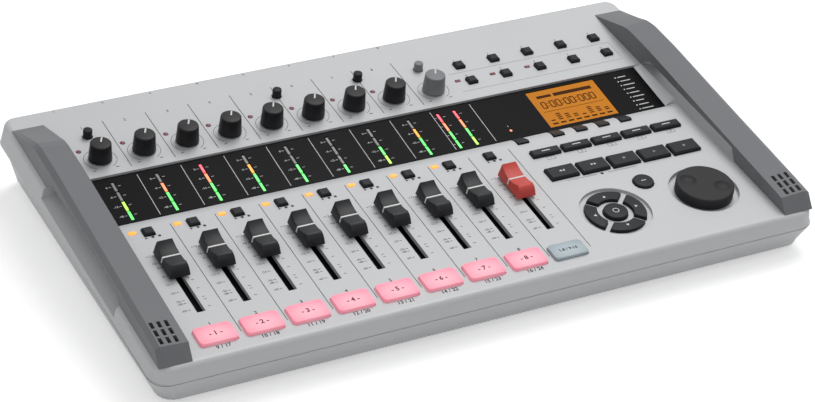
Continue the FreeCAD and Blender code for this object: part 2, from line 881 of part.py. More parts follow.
def make_bottom_case():
    """The lower shell: a slanted band under the seam, then a steeper facet to the base."""
    body = new_body("bottom_case", SEAM)
    loft(body, "Additive", outer_sections(body))
    base_box(body, "under_base", "Pocket", -S.case_half_width, -S.case_rear,
             2 * S.case_half_width, 2 * S.case_rear, -S.deep_level, S.deep_level + S.foot_height)
    loft(body, "Subtractive", inner_sections(body))
    floor = level_sketch(body, "floor", S.foot_height + S.case_wall)
    hollow_outline(floor, S.hollow_half_width, S.hollow_front, S.hollow_rear)
    pocket(body, floor, S.deep_level, reverse=True)
    cut_shadow_gap(body)
    cut_rear_window(body)
    add_battery_bay(body)
    cut_side_bay(body)
    add_posts(body)
    return body


def outer_sections(body):
    """Plans of the lower shell at the seam, under its band and below its base."""
    depth = S.case_front + S.case_rear
    top = new_sketch(body, "outer_top")
    chorded_plan(top, S.case_half_width, 0.0, depth)
    band = new_sketch(body, "outer_band", offset=-S.band_height)
    chorded_plan(band, S.case_half_width - S.band_inset, S.band_front_inset, depth)
    deep = new_sketch(body, "outer_deep", offset=-S.deep_level)
    chorded_plan(deep, S.case_half_width - S.deep_inset, S.deep_front_inset, depth - 2)
    return [top, band, deep]


def inner_sections(body):
    """Plans of the hollow inside the band."""
    wall = S.case_wall
    depth = S.case_front + S.case_rear
    top = new_sketch(body, "inner_top", offset=0.5)
    hollow_outline(top, S.case_half_width - wall, wall, depth - wall)
    band = new_sketch(body, "inner_band", offset=-S.band_height)
    hollow_outline(band, S.case_half_width - S.band_inset - wall, S.band_front_inset + wall,
                   depth - wall)
    return [top, band]


def level_sketch(body, name, level):
    """A sketch at a height above the table, in a body that lies in the seam's frame."""
    sketch = new_sketch(body, name)
    sketch.setExpression(".AttachmentOffset.Base.z", None)
    sketch.AttachmentOffset = SEAM.inverse() * FreeCAD.Placement(
        V(0, 0, as_size(level).value), FreeCAD.Rotation()
    )
    return sketch


def cut_shadow_gap(body):
    """The narrow step round the rim that shows as a dark line at the seam."""
    depth = S.case_front + S.case_rear
    step = new_sketch(body, "shadow_gap")
    box_outline(step, 0, depth / 2, 2 * S.case_half_width + 2, depth + 2)
    plan_outline(step, S.case_half_width - S.shadow_depth, S.shadow_depth,
                 depth - S.shadow_depth, S.shadow_depth)
    pocket(body, step, S.shadow_gap)


def cut_rear_window(body):
    """The lower half of the opening that the socket plate fills."""
    window = new_sketch(body, "rear_window", "XZ", -S.case_front - S.case_rear - 2)
    box_outline(window, 0, -9.5, 2 * S.rear_window_half, 21.0)
    pocket(body, window, 9, reverse=True)


def add_battery_bay(body):
    """A tub for six cells, open downwards, with a rebate for its door."""
    skin = S.bay_skin
    base_box(body, "bay", "Pad", -S.bay_half_width - skin, S.bay_front - skin,
             2 * S.bay_half_width + 2 * skin, S.bay_length + 2 * skin,
             S.foot_height + 0.4, S.bay_height + skin - 0.4 + 2.0)
    base_box(body, "bay_hollow", "Pocket", -S.bay_half_width, S.bay_front,
             2 * S.bay_half_width, S.bay_length, S.foot_height - 1, S.bay_height + 3.0)
    base_box(body, "bay_rebate", "Pocket", -S.bay_half_width - 3, S.bay_front - 3,
             2 * S.bay_half_width + 6, S.bay_length + 6, S.foot_height - 1, 2.3)


def base_box(body, name, kind, x, y, width, depth, level, height):
    """A box in the level frame of the base, added to or cut from a body in the seam frame."""
    x, y, width, depth = (as_size(number) for number in (x, y, width, depth))
    sketch = level_sketch(body, name, level)
    box_outline(sketch, x + width / 2, y + depth / 2, width, depth)
    if kind == "Pad":
        return pad(body, sketch, height)
    return pocket(body, sketch, height, reverse=True)


def cut_side_bay(body):
    """The upright bay on the right for the card and the computer sockets."""
    top = -S.side_bay_top
    middle = top - S.side_bay_height / 2
    x = S.case_half_width - S.side_bay_depth
    outer = new_sketch(body, "side_bay_backing", "XZ", -S.side_bay_front - S.side_bay_length - 2)
    outline(outer, [
        (x - 2, top + 1.2), (x - 2, top - S.side_bay_height - 1.5),
        (x + 2.5, top - S.side_bay_height - 1.5), (x + 7.5, top + 1.2),
    ])
    pad(body, outer, S.side_bay_length + 4)
    bay = new_sketch(body, "side_bay", "XZ", -S.side_bay_front - S.side_bay_length)
    box_outline(bay, x + 7, middle, 14, S.side_bay_height)
    pocket(body, bay, S.side_bay_length, reverse=True)
    ports = new_sketch(body, "side_ports", "YZ", x + 1)
    for place, width, height in SIDE_PORTS:
        box_outline(ports, S.side_bay_front + place, middle, width, height)
    box_outline(ports, S.side_bay_front + S.card_place, middle, S.card_slot, S.card_slot_height)
    pocket(body, ports, 6)


def add_posts(body):
    """Posts under the bosses, with screw holes and sunk head seats."""
    for number, (place_x, place_y) in enumerate(BOSS_PLACES):
        spot = SEAM.inverse().multVec(PANEL.multVec(V(place_x, place_y, -S.seam_drop.value)))
        level = post_depth(spot.y)
        post = new_sketch(body, f"post_{number}", offset=-0.8)
        polygon(post, spot.x, spot.y, S.post_radius, HIDDEN_SIDES)
        pad(body, post, level + 0.2, reverse=True)
        bore = new_sketch(body, f"post_bore_{number}")
        polygon_hole(bore, spot.x, spot.y, S.post_bore, HIDDEN_SIDES)
        pocket(body, bore, 40)
        seat = new_sketch(body, f"post_seat_{number}", offset=-level + 1.2)
        polygon_hole(seat, spot.x, spot.y, S.seat_radius, HIDDEN_SIDES)
        pocket(body, seat, 12)


def post_depth(y):
    """How deep the inside of the base lies under the seam at a distance from the front."""
    lean = math.radians(S.wedge_angle.value - S.seam_angle.value)
    level = SEAM.inverse().multVec(V(0, 0, S.foot_height.value + S.case_wall.value))
    return -(level.z + (level.y - y) * math.tan(lean))


# Side grips

def make_grip(label, side):
    """An arched side grip with a sloping top and the slots of a microphone."""
    body = new_body(label)
    crest = [
        (187.5, 0.0), (157.5, 12.6), (152.0, 13.8), (131.0, 14.0), (62.0, 10.9),
        (8.0, 8.9), (-5.5, 8.2), (-11.5, 0.0),
    ]
    sections = []
    for name, x, share in (("outer", S.grip_outer, 0.84), ("crest", S.grip_crest, 1.0),
                           ("inner", S.grip_inner, 0.87)):
        sketch = new_sketch(body, name, "YZ", x * side)
        outline(sketch, [(y, z * share) for y, z in crest])
        sections.append(sketch)
    loft(body, "Additive", sections)
    arch = new_sketch(body, "arch", "YZ", S.grip_inner * side - 2 * side)
    low, high, top = S.arch_front, S.arch_rear, S.arch_height
    outline(arch, [
        (low, -1.0), (high, -1.0), (high, 0.0), (high - 9, top), (low + 5, top), (low, 0.0),
    ])
    pocket(body, arch, 22, reverse=side > 0)
    slots = new_sketch(body, "mic_slots", offset=12)
    middle = (S.grip_inner + S.grip_outer) / 2 + 0.2
    for column in (-1, 0, 1):
        for row in (-1, 0, 1):
            box_outline(slots, (middle + S.mic_pitch * column) * side, 3.7 + S.mic_row_pitch * row,
                        S.mic_width, S.mic_length)
    pocket(body, slots, 9)
    return body


# Controls

def make_fader(label, column):
    """A fader: a saddle-shaped cap on a flat lever."""
    x = S.first_column + S.channel_pitch * column
    body = new_body(label, at=(x, S.fader_rest, 0))
    side = new_sketch(body, "side", "YZ")
    rear, front, low = S.cap_rear, S.cap_front, S.cap_gap
    outline(side, [(-front, low), (rear, low)] + saddle_points() + [
        (1.2 - front, S.cap_nose), (0.4 - front, S.cap_chin),
    ])
    pad(body, side, S.cap_width, both=True)
    flanks = new_sketch(body, "flanks", "XZ")
    half, top_half = S.cap_width / 2, S.cap_top_width / 2
    for sign in (-1, 1):
        outline(flanks, [
            ((half - 0.2) * sign, low - 0.2), ((top_half - 0.2) * sign, S.cap_height + 1),
            ((half + 2) * sign, S.cap_height + 1), ((half + 2) * sign, low - 0.2),
        ])
    pocket(body, flanks, 40, both=True)
    stem = new_sketch(body, "stem", offset=S.cap_gap + 0.5)
    box_outline(stem, 0, 0, S.stem_thickness, S.stem_length)
    pad(body, stem, S.stem_depth + S.cap_gap + 0.5, reverse=True)
    return body


def saddle_points():
    """The hollow of a fader's cap, from its rear edge to its front edge."""
    rear = V(S.cap_rear.value - 1.0, S.cap_height.value, 0)
    front = V(S.cap_saddle_front.value - S.cap_front.value, S.cap_front_height.value, 0)
    hollow = Part.Arc(rear, V(0, S.cap_saddle.value, 0), front)
    return [(point.x, point.y) for point in hollow.toShape().discretize(ARC_CHORDS + 1)]


def make_knob(label, column):
    """A pointer knob: a grip of narrow flats on its shaft."""
    x = S.first_column + S.channel_pitch * column + S.knob_shift
    body = new_body(label, at=(x, S.knob_row, 0), turn=-S.pointer_turn.value)
    grip = new_sketch(body, "grip", offset=S.knob_gap)
    polygon(grip, 0, 0, S.knob_radius, KNOB_SIDES)
    pad(body, grip, S.knob_top - S.knob_gap)
    chamfer_edges(body, S.knob_bevel, edges_at_height(S.knob_top))
    shaft = new_sketch(body, "shaft", offset=S.knob_gap + 0.5)
    polygon(shaft, 0, 0, S.shaft_radius, HIDDEN_SIDES)
    pad(body, shaft, S.key_root + S.knob_gap + 0.9, reverse=True)
    mark = new_sketch(body, "pointer", offset=S.knob_top)
    box_outline(mark, 0, S.knob_radius / 2 + 0.4, S.pointer_width, S.knob_radius - 1.4)
    pocket(body, mark, S.pointer_depth)
    return body


def make_dial():
    """The data wheel with two finger dimples."""
    body = new_body("data_dial", at=(S.dial_x, S.dial_y, 0), turn=-35.0)
    low = -S.dial_recess_depth + 0.4
    wheel = new_sketch(body, "wheel", offset=low)
    polygon(wheel, 0, 0, S.dial_radius, DIAL_SIDES)
    pad(body, wheel, S.dial_top - low)
    chamfer_edges(body, S.dial_bevel, edges_at_height(S.dial_top))
    for name, side in (("left", -1), ("right", 1)):
        dimple = new_sketch(body, f"{name}_dimple", offset=S.dial_top)
        polygon(dimple, S.dimple_offset * side, 0, S.dimple_floor, DIMPLE_SIDES)
        pocket(body, dimple, S.dimple_depth)
        middle = V(S.dimple_offset.value * side, 0, S.dial_top.value)
        chamfer_edges(body, S.dimple_bevel, edges_about(middle, S.dimple_floor))
    shaft = new_sketch(body, "shaft", offset=low + 0.5)
    circle(shaft, 0, 0, S.shaft_radius)
    pad(body, shaft, S.dial_shaft + low + 0.5, reverse=True)
    doc.recompute()
    return body


def make_key(label, x, y, width, depth, proud, corner=None):
    """A key: a cap that stands out of the panel, with a flange below it."""
    body = new_body(label, at=(x, y, 0))
    width, depth, proud = as_size(width), as_size(depth), as_size(proud)
    cap = new_sketch(body, "cap", offset=-S.key_root)
    box_outline(cap, 0, 0, width, depth, corner)
    pad(body, cap, S.key_root + proud)
    chamfer_edges(body, S.key_bevel, edges_at_height(proud))
    flange = new_sketch(body, "flange", offset=-S.key_root)
    box_outline(flange, 0, 0, width + 2 * S.key_reach, depth)
    pad(body, flange, S.flange_height, reverse=True)
    return body


def make_round_key(label, x, y, radius, sides, top, low):
    """A round key or push switch with a wider flange below the panel."""
    body = new_body(label, at=(x, y, 0))
    radius, top, low = (as_size(number) for number in (radius, top, low))
    cap = new_sketch(body, "cap", offset=low)
    polygon(cap, 0, 0, radius, sides)
    pad(body, cap, top - low)
    chamfer_edges(body, S.key_bevel, edges_at_height(top))
    flange = new_sketch(body, "flange", offset=low)
    polygon_hole(flange, 0, 0, radius + S.key_reach, HIDDEN_SIDES)
    pad(body, flange, S.flange_height, reverse=True)
    return body


def make_key_row(label, caps, width, depth, proud, reach=1.2):
    """Equal keys at given places, each with a flange below the panel."""
    body = new_body(label)
    width, depth, proud = as_size(width), as_size(depth), as_size(proud)
    cap = new_sketch(body, "caps", offset=-S.key_root)
    flange = new_sketch(body, "flanges", offset=-S.key_root)
    for x, y in caps:
        box_outline(cap, x, y, width, depth)
        box_outline(flange, x, y, width + 2 * reach, depth)
    pad(body, flange, S.flange_height, reverse=True)
    pad(body, cap, S.key_root + proud)
    chamfer_edges(body, S.key_bevel, edges_at_height(proud))
    return body


def chamfer_edges(body, size, wanted):
    """A chamfer on the edges of the body's last feature that the test accepts."""
    doc.recompute()
    base = body.Tip
    names = [
        f"Edge{number}" for number, edge in enumerate(base.Shape.Edges, start=1) if wanted(edge)
    ]
    feature = body.newObject("PartDesign::Chamfer", f"{base.Name}_bevel")
    feature.Base = (base, names)
    feature.Size = as_size(size).value
    feature.setExpression("Size", as_size(size).text)
    doc.recompute()
    return feature


def make_soft_keys():
    """Five small keys nested in the lip, with tops that follow it downwards."""
    body = new_body("soft_keys")
    caps = new_sketch(body, "caps", offset=1.0)
    for place in SOFT_KEY_X:
        box_outline(caps, place, S.soft_row, S.soft_width, S.soft_depth)
    pad(body, caps, 10.0, reverse=True)
    slope = new_sketch(body, "slope", "YZ")
    rear, front = S.soft_row + S.soft_depth / 2, S.soft_row - S.soft_depth / 2
    outline(slope, [
        (front - 1, 1.2), (front + 1.6, 1.0), (rear + 1, -2.0), (rear + 1, 2.0), (front - 1, 2.0),
    ])
    pocket(body, slope, 400, both=True)
    return body


def make_cursor_keys():
    """Four arrow keys, each a quarter of a ring."""
    body = new_body("cursor_keys", at=(S.cursor_x, S.cursor_y, 0))
    quarter = new_sketch(body, "quarter", offset=-S.key_root - 1.6)
    quarter_outline(quarter, 0.0)
    key = pad(body, quarter, S.key_root + 1.6 + S.cursor_top)
    doc.recompute()
    around(body, [key], quarter, CURSOR_KEYS)
    chamfer_edges(body, S.key_bevel, edges_at_height(S.cursor_top))
    return body


# Display strip

def window_tilt():
    """How far the strip leans against the panel, in degrees."""
    run = S.strip_rear.value - S.strip_front.value
    rise = S.window_front_drop.value - S.window_rear_drop.value
    return math.degrees(math.atan2(rise, run))


def window_frame():
    """The frame of the strip's face: x as the panel's, y up the strip, z out of it."""
    local = FreeCAD.Placement(
        V(0, S.strip_front.value, -S.window_front_drop.value),
        FreeCAD.Rotation(X_AXIS, window_tilt()),
    )
    return PANEL * local


def make_window():
    """The dark pane, open over the liquid crystal display and slotted for the meters."""
    body = new_body("display_window", window_frame())
    plate = new_sketch(body, "plate")
    gap = 0.15
    length = S.strip_rear - S.strip_front
    outline(plate, [
        (S.strip_left + gap, gap), (S.strip_right - gap, gap),
        (S.strip_right - gap, length - gap), (S.strip_left + gap, length - gap),
    ])
    pad(body, plate, S.window_thickness - 0.02, reverse=True)
    pane = new_sketch(body, "lcd_opening")
    box_outline(pane, S.lcd_x, S.lcd_front - S.strip_front + S.lcd_length / 2,
                S.lcd_width, S.lcd_length)
    pocket(body, pane, 3)
    slot = new_sketch(body, "meter_slot")
    box_outline(slot, S.first_column + S.meter_shift, S.meter_front - S.strip_front + 2.4
                + S.meter_length / 2, S.meter_width, S.meter_length)
    cut = pocket(body, slot, 1.0)
    repeat(body, [cut], slot, "H_Axis", S.channel_pitch, FADERS)
    pair = new_sketch(body, "master_slots")
    for number in range(MASTER_METERS):
        box_outline(pair, S.master_meter_x + S.master_meter_gap * number,
                    S.meter_front - S.strip_front + 2.4 + S.meter_length / 2,
                    S.meter_width, S.meter_length)
    pocket(body, pair, 1.0)
    return body


def make_lcd():
    """The liquid crystal module, its glass just under the face of the pane."""
    body = new_body("lcd_module", window_frame())
    glass = new_sketch(body, "glass", offset=-0.4)
    box_outline(glass, S.lcd_x, S.lcd_front - S.strip_front + S.lcd_length / 2,
                S.lcd_width - 0.4, S.lcd_length - 0.4)
    pad(body, glass, 3.0, reverse=True)
    return body


def make_leds():
    """All lamps: clip and track lamps in the panel, key lamps, and the meters' light bars."""
    body = new_body("indicator_leds")
    x = S.first_column
    lamps = new_sketch(body, "lamps", offset=S.lamp_proud)
    box_outline(lamps, x + S.track_lamp_shift, S.track_lamp_row,
                S.track_lamp_width, S.track_lamp_depth)
    polygon_hole(lamps, x + S.clip_lamp_shift, S.clip_lamp_row, S.clip_lamp_radius, HIDDEN_SIDES)
    lamp = pad(body, lamps, S.lamp_length, reverse=True)
    doc.recompute()
    repeat(body, [lamp], lamps, "H_Axis", S.channel_pitch, FADERS)
    keys = new_sketch(body, "key_lamp", offset=S.lamp_proud)
    box_outline(keys, S.key_lamp_x, S.key_lamp_row, S.key_lamp_width, S.key_lamp_depth)
    lamp = pad(body, keys, S.lamp_length, reverse=True)
    doc.recompute()
    repeat(body, [lamp], keys, "H_Axis", S.key_lamp_pitch, KEY_LAMPS)
    add_meter(body, "input_meter", x + S.meter_shift, FADERS, S.channel_pitch)
    add_meter(body, "master_meter", S.master_meter_x, MASTER_METERS, S.master_meter_gap)
    return body


def add_meter(body, name, x, columns, pitch):
    """The light bars of the level meters, sunk a little into the slots of the pane."""
    bar = new_sketch(body, name)
    bar.setExpression(".AttachmentOffset.Base.z", None)
    bar.AttachmentOffset = PANEL.inverse() * window_frame() * FreeCAD.Placement(
        V(0, 0, -0.3), FreeCAD.Rotation()
    )
    middle = S.meter_front - S.strip_front + 2.4 + S.meter_length / 2
    box_outline(bar, x, middle, S.meter_width - 0.5, S.meter_length - 0.5)
    part = pad(body, bar, 0.7, reverse=True)
    doc.recompute()
    repeat(body, [part], bar, "H_Axis", pitch, columns)


# Inside

def make_board():
    """The control board with the faders' tracks and the knobs' pots."""
    body = new_body("control_board")
    x = S.first_column
    board = new_sketch(body, "board", offset=-S.board_top)
    box_outline(board, 0, 86.0, 322.0, 164.0)
    pad(body, board, S.board_thickness, reverse=True)
    tracks = new_sketch(body, "tracks", offset=-S.board_top - 0.1)
    box_outline(tracks, x, S.slot_front + S.slot_length / 2, 9.0, 62.0)
    box_outline(tracks, x + S.knob_shift, S.knob_row, 10.0, 10.0)
    part = pad(body, tracks, S.board_top - S.track_top + 0.1)
    doc.recompute()
    repeat(body, [part], tracks, "H_Axis", S.channel_pitch, COLUMNS)
    add_side_sockets(body)
    return body


def add_side_sockets(body):
    """The computer sockets and the card reader, soldered under the board's right edge."""
    middle = SEAM.multVec(V(0, 0, -(S.side_bay_top + S.side_bay_height / 2).value))
    ports = SIDE_PORTS + ((S.card_place.value, S.card_slot.value, S.card_slot_height.value),)
    reach = S.case_half_width - S.side_bay_depth - 2.3
    for number, (place, width, height) in enumerate(ports):
        spot = SEAM.multVec(V(0, (S.side_bay_front + place).value, 0))
        spot = PANEL.inverse().multVec(V(0, spot.y, spot.z + middle.z - SEAM.Base.z))
        shell = new_sketch(body, f"side_socket_{number}", "YZ", reach)
        low = spot.z - height / 2 - 1
        box_outline(shell, spot.y, (low - S.board_top - 1) / 2, width + 2, -low - S.board_top - 1)
        pad(body, shell, S.side_socket_length, reverse=True)
        mouth = new_sketch(body, f"side_mouth_{number}", "YZ", reach)
        box_outline(mouth, spot.y, spot.z, width - 1, height - 1)
        pocket(body, mouth, S.side_socket_length / 2)


def make_rear_panel():
    """The upright plate that carries all rear sockets."""
    body = new_body("rear_panel", BASE)
    face = S.rear_panel_face
    low, high = S.rear_panel_low, S.rear_panel_high
    plate = new_sketch(body, "plate", "XZ", -face)
    box_outline(plate, 0, (low + high) / 2, 2 * S.rear_window_half - 0.6, high - low)
    pad(body, plate, S.rear_panel_thickness)
    holes = new_sketch(body, "input_hole", "XZ", -face)
    polygon_hole(holes, S.first_input, S.socket_height, S.socket_radius + S.socket_gap, SOCKET_SIDES)
    cut = pocket(body, holes, 9, both=True)
    repeat(body, [cut], holes, "H_Axis", S.input_pitch, FADERS)
    others = new_sketch(body, "other_holes", "XZ", -face)
    for place in (S.phones_x, S.output_x - S.output_spread, S.output_x + S.output_spread):
        polygon_hole(others, place, S.socket_height, S.line_radius + S.socket_gap,
                     JACK_HOLE_SIDES)
    polygon_hole(others, S.dc_x, S.socket_height, S.inlet_radius + S.socket_gap, SMALL_SIDES)
    box_outline(others, S.power_x, S.socket_height, 11.0, 5.4)
    pocket(body, others, 9, both=True)
    return body


def make_input_sockets():
    """Eight round combination sockets, each with its jack hole."""
    body = new_body("input_sockets", BASE)
    face = S.rear_panel_face + S.socket_proud
    drum = new_sketch(body, "drum", "XZ", -face)
    polygon_hole(drum, S.first_input, S.socket_height, S.socket_radius, SOCKET_SIDES)
    barrel = pad(body, drum, S.socket_depth)
    doc.recompute()
    jack = new_sketch(body, "jack", "XZ", -face)
    circle(jack, S.first_input, S.socket_height, S.jack_radius)
    bore = pocket(body, jack, S.jack_length, reverse=True)
    repeat(body, [barrel, bore], drum, "H_Axis", S.input_pitch, FADERS)
    return body


def make_line_sockets():
    """The headphone and output jacks and the inlet of the adapter."""
    body = new_body("line_sockets", BASE)
    face = S.rear_panel_face + S.socket_proud
    places = [S.phones_x, S.output_x - S.output_spread, S.output_x + S.output_spread]
    barrels = new_sketch(body, "barrels", "XZ", -face)
    for place in places:
        polygon_hole(barrels, place, S.socket_height, S.line_radius, SMALL_SIDES)
    polygon_hole(barrels, S.dc_x, S.socket_height, S.inlet_radius, SMALL_SIDES)
    pad(body, barrels, S.socket_depth)
    bores = new_sketch(body, "bores", "XZ", -face)
    for place in places:
        circle(bores, place, S.socket_height, S.jack_radius)
    polygon_hole(bores, S.dc_x, S.socket_height, S.inlet_bore, SMALL_SIDES)
    pocket(body, bores, S.jack_length, reverse=True)
    pin = new_sketch(body, "inlet_pin", "XZ", -face + 1)
    polygon(pin, S.dc_x, S.socket_height, S.inlet_pin, HIDDEN_SIDES)
    pad(body, pin, S.jack_length + 1)
    return body


def make_power_switch():
    """The sliding power switch."""
    body = new_body("power_switch", BASE, at=(S.power_x - 2.0, S.rear_panel_face, S.socket_height))
    knob = new_sketch(body, "knob", "XZ", -1.6)
    box_outline(knob, 0, 0, 4.4, 4.6)
    pad(body, knob, 6.0)
    return body


def make_feet():
    """Four round rubber feet."""
    body = new_body("feet", BASE)
    feet = new_sketch(body, "feet")
    for place_x, place_y in FOOT_PLACES:
        polygon(feet, place_x, place_y, S.foot_radius, SOCKET_SIDES)
    pad(body, feet, S.foot_height)
    return body


def make_screws():
    """Four pan-head screws that hold the shells together."""
    body = new_body("case_screws", SEAM)
    for number, (place_x, place_y) in enumerate(BOSS_PLACES):
        spot = SEAM.inverse().multVec(PANEL.multVec(V(place_x, place_y, -S.seam_drop.value)))
        level = post_depth(spot.y)
        head = new_sketch(body, f"head_{number}", offset=-level + 1.15)
        polygon(head, spot.x, spot.y, S.head_radius, HIDDEN_SIDES)
        pad(body, head, 1.8, reverse=True)
        shank = new_sketch(body, f"shank_{number}", offset=-level + 1.0)
        polygon(shank, spot.x, spot.y, S.screw_radius, HIDDEN_SIDES)
        pad(body, shank, level - 1.0)
    return body


def make_battery_door():
    """The door of the battery bay, flush with the base, on a round hinge edge."""
    body = new_body("battery_door", BASE)
    width = 2 * S.bay_half_width + 5.4
    front = S.bay_front - 2.7 + S.battery_pin
    door = new_sketch(body, "door", offset=S.foot_height + 0.1)
    rear = S.bay_front + S.bay_length + 2.7
    box_outline(door, 0, (front + rear) / 2, width, rear - front)
    pad(body, door, 2 * S.battery_pin)
    pin = new_sketch(body, "hinge_pin", "YZ", -width / 2)
    circle(pin, front, S.foot_height + 0.1 + S.battery_pin, S.battery_pin)
    pad(body, pin, width)
    return body


def make_card_door():
    """The hinged cover of the card slot, in the bay on the right side."""
    x = S.case_half_width - S.side_bay_depth + 0.5
    y = S.side_bay_front + S.card_place
    width = S.card_slot + 4.6
    body = new_body("card_door", SEAM, at=(x, y, 0))
    low = -S.side_bay_top - S.side_bay_height + S.door_pin + 0.25
    high = -S.side_bay_top - 0.6
    flap = new_sketch(body, "flap", "YZ")
    box_outline(flap, 0, (low + high) / 2, width, high - low)
    pad(body, flap, 2 * S.door_pin)
    pin = new_sketch(body, "hinge_pin", "XZ", -width / 2)
    circle(pin, S.door_pin, low, S.door_pin)
    pad(body, pin, width)
    return body


# Assembly

def make_all():
    """Every piece of the recorder, in its own body."""
    make_top_case()
    make_bottom_case()
    make_grip("left_grip", -1)
    make_grip("right_grip", 1)
    make_window()
    make_lcd()
    make_leds()
    make_board()
    make_rear_panel()
    make_input_sockets()
    make_line_sockets()
    make_feet()
    make_screws()
    for column in range(FADERS):
        number = column + 1
        x = S.first_column + S.channel_pitch * column
        make_fader(f"fader_{number}", column)
        make_knob(f"gain_knob_{number}", column)
        make_key(f"pad_{number}", x + S.pad_shift, S.pad_row,
                 S.pad_width, S.pad_depth, S.pad_proud, S.pad_corner)
    make_fader("master_fader", COLUMNS - 1)
    make_knob("balance_knob", COLUMNS - 1)
    make_key("pad_bank_key", S.stop_x, S.stop_row, S.stop_width, S.stop_depth, S.pad_proud,
             S.pad_corner)
    make_dial()
    make_cursor_keys()
    make_round_key("enter_key", S.cursor_x, S.cursor_y, S.enter_radius, KEY_SIDES,
                   S.cursor_top + 0.3, -S.key_root - 2.4)
    make_round_key("exit_key", S.exit_x, S.exit_y, S.exit_radius, KEY_SIDES,
                   S.exit_proud, -S.key_root)
    for name, (x, y) in zip(TRANSPORT, large_places()):
        make_key(f"{name}_key", x, y, S.large_width, S.large_depth, S.large_proud)
    make_key_row("wide_keys", wide_places(), S.wide_width, S.wide_depth, S.wide_proud, reach=0.7)
    make_key_row("function_keys", function_places(), S.function_size, S.function_size,
                 S.function_proud)
    make_key_row("track_keys", track_places(), S.track_size, S.track_size, S.track_proud)
    make_soft_keys()
    for name, place_x, place_y in SWITCH_PLACES:
        make_round_key(name, place_x, place_y, S.switch_radius, SMALL_SIDES,
                       S.switch_top, -S.key_root)
    make_power_switch()
    make_battery_door()
    make_card_door()


def solids_wanted(label):
    """How many solids a piece has: one, unless it gathers equal small ones."""
    lamps = 3 * FADERS + KEY_LAMPS + MASTER_METERS
    several = {
        "indicator_leds": lamps, "input_sockets": FADERS, "line_sockets": LINE_SOCKETS,
        "feet": len(FOOT_PLACES), "case_screws": len(BOSS_PLACES), "wide_keys": KEYS_IN_ROW,
        "function_keys": 2 * KEYS_IN_ROW, "track_keys": COLUMNS, "soft_keys": len(SOFT_KEY_X),
        "cursor_keys": CURSOR_KEYS,
    }
    return several.get(label, 1)


def check_all():
    """Stops with a plain message when any feature or shape has failed."""
    doc.recompute()
    for item in doc.Objects:
        if "Invalid" in item.State or "Error" in item.State:
            raise ValueError(f"{item.Name} did not rebuild")
    for item in PARTS:
        if item.Shape.isNull() or not item.Shape.isValid():
            raise ValueError(f"{item.Label} has no valid shape")
        if len(item.Shape.Solids) != solids_wanted(item.Label):
            raise ValueError(f"{item.Label} has {len(item.Shape.Solids)} solids")


def write_all():
    """Writes each piece to its own file."""
    os.makedirs("parts", exist_ok=True)
    for item in PARTS:
        item.Shape.exportStep(f"parts/{item.Label}.step")


make_all()
check_all()
write_all()
print(f"{len(PARTS)} pieces")
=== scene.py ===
"""Looks of a desktop multitrack recorder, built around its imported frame."""
import math

import bmesh
import bpy
from mathutils import Matrix, Vector


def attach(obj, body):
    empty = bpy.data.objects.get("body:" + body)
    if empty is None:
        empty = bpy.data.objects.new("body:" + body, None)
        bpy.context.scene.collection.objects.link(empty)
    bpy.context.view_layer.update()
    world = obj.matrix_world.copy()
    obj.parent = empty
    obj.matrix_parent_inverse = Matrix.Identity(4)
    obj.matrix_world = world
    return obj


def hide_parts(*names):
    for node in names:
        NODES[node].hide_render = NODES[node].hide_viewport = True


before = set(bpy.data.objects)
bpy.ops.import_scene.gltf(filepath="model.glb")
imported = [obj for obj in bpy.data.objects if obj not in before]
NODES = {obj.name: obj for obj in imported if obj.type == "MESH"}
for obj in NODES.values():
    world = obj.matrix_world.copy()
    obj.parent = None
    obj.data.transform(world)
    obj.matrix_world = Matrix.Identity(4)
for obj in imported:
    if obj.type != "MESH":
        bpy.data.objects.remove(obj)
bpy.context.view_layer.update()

# Lengths below are in millimetres, in the frame of the control panel: x to the right from
# the middle, y up the slope, z out of the panel. The display strip has a frame of its own.
MM = 0.001
TO_METRES = Matrix.Scale(MM, 4)
WEDGE = math.radians(4.5)
PANEL = (Matrix.Translation((0, -94.44 * MM, 26.3 * MM)) @ Matrix.Rotation(WEDGE, 4, "X")
         @ TO_METRES)
STRIP_FRONT, STRIP_REAR = 100.15, 135.8
STRIP_FRONT_DROP, STRIP_REAR_DROP = 4.03, 1.22
STRIP_LEAN = math.atan2(STRIP_FRONT_DROP - STRIP_REAR_DROP, STRIP_REAR - STRIP_FRONT)
STRIP = (PANEL @ Matrix.Translation((0, STRIP_FRONT, -STRIP_FRONT_DROP))
         @ Matrix.Rotation(STRIP_LEAN, 4, "X"))

# Columns of controls from the left; the last has the master fader and the balance knob
PITCH = 24.2
FIRST_COLUMN = -149.5
FADERS = 8
COLUMNS = 9
FADER_NAMES = [f"fader_{number}" for number in range(1, FADERS + 1)] + ["master_fader"]
KNOB_NAMES = [f"gain_knob_{number}" for number in range(1, FADERS + 1)] + ["balance_knob"]

# Fader caps
FADER_REST = 58.2
CAP_FOOT = 1.0
CAP_HALF_WIDTH = 5.6
CAP_DRAFT = 0.186
CAP_SADDLE = ((9.3, 8.6), (0.0, 5.7), (-8.1, 7.6))
CAP_NOSE = ((-9.3, 7.35), (-10.3, 6.75), (-11.0, 5.7), (-11.3, 4.6))

# Knobs
KNOB_ROW = 150.0
KNOB_SHIFT = -1.0
KNOB_TOP = 10.6
KNOB_RADIUS = 6.2
SHAFT_RADIUS = 2.9
POINTER_TURN = math.radians(-27.0)

# Pads
PAD_ROW = 2.0
PAD_SHIFT = -0.7
PAD_TOP = 1.6
PAD_SIZE = (19.4, 12.2)
BANK_MIDDLE = (43.0, 1.2)
BANK_SIZE = (19.0, 10.8)

# Data dial
DIAL_TURN = math.radians(-35.0)
DIAL_MIDDLE = (138.4, 22.5)
DIAL_RADIUS = 15.6
DIAL_TOP = 4.3
DIMPLE_OFFSET = 9.3
DIMPLE_RADIUS = 4.7
DIMPLE_DEPTH = 1.25

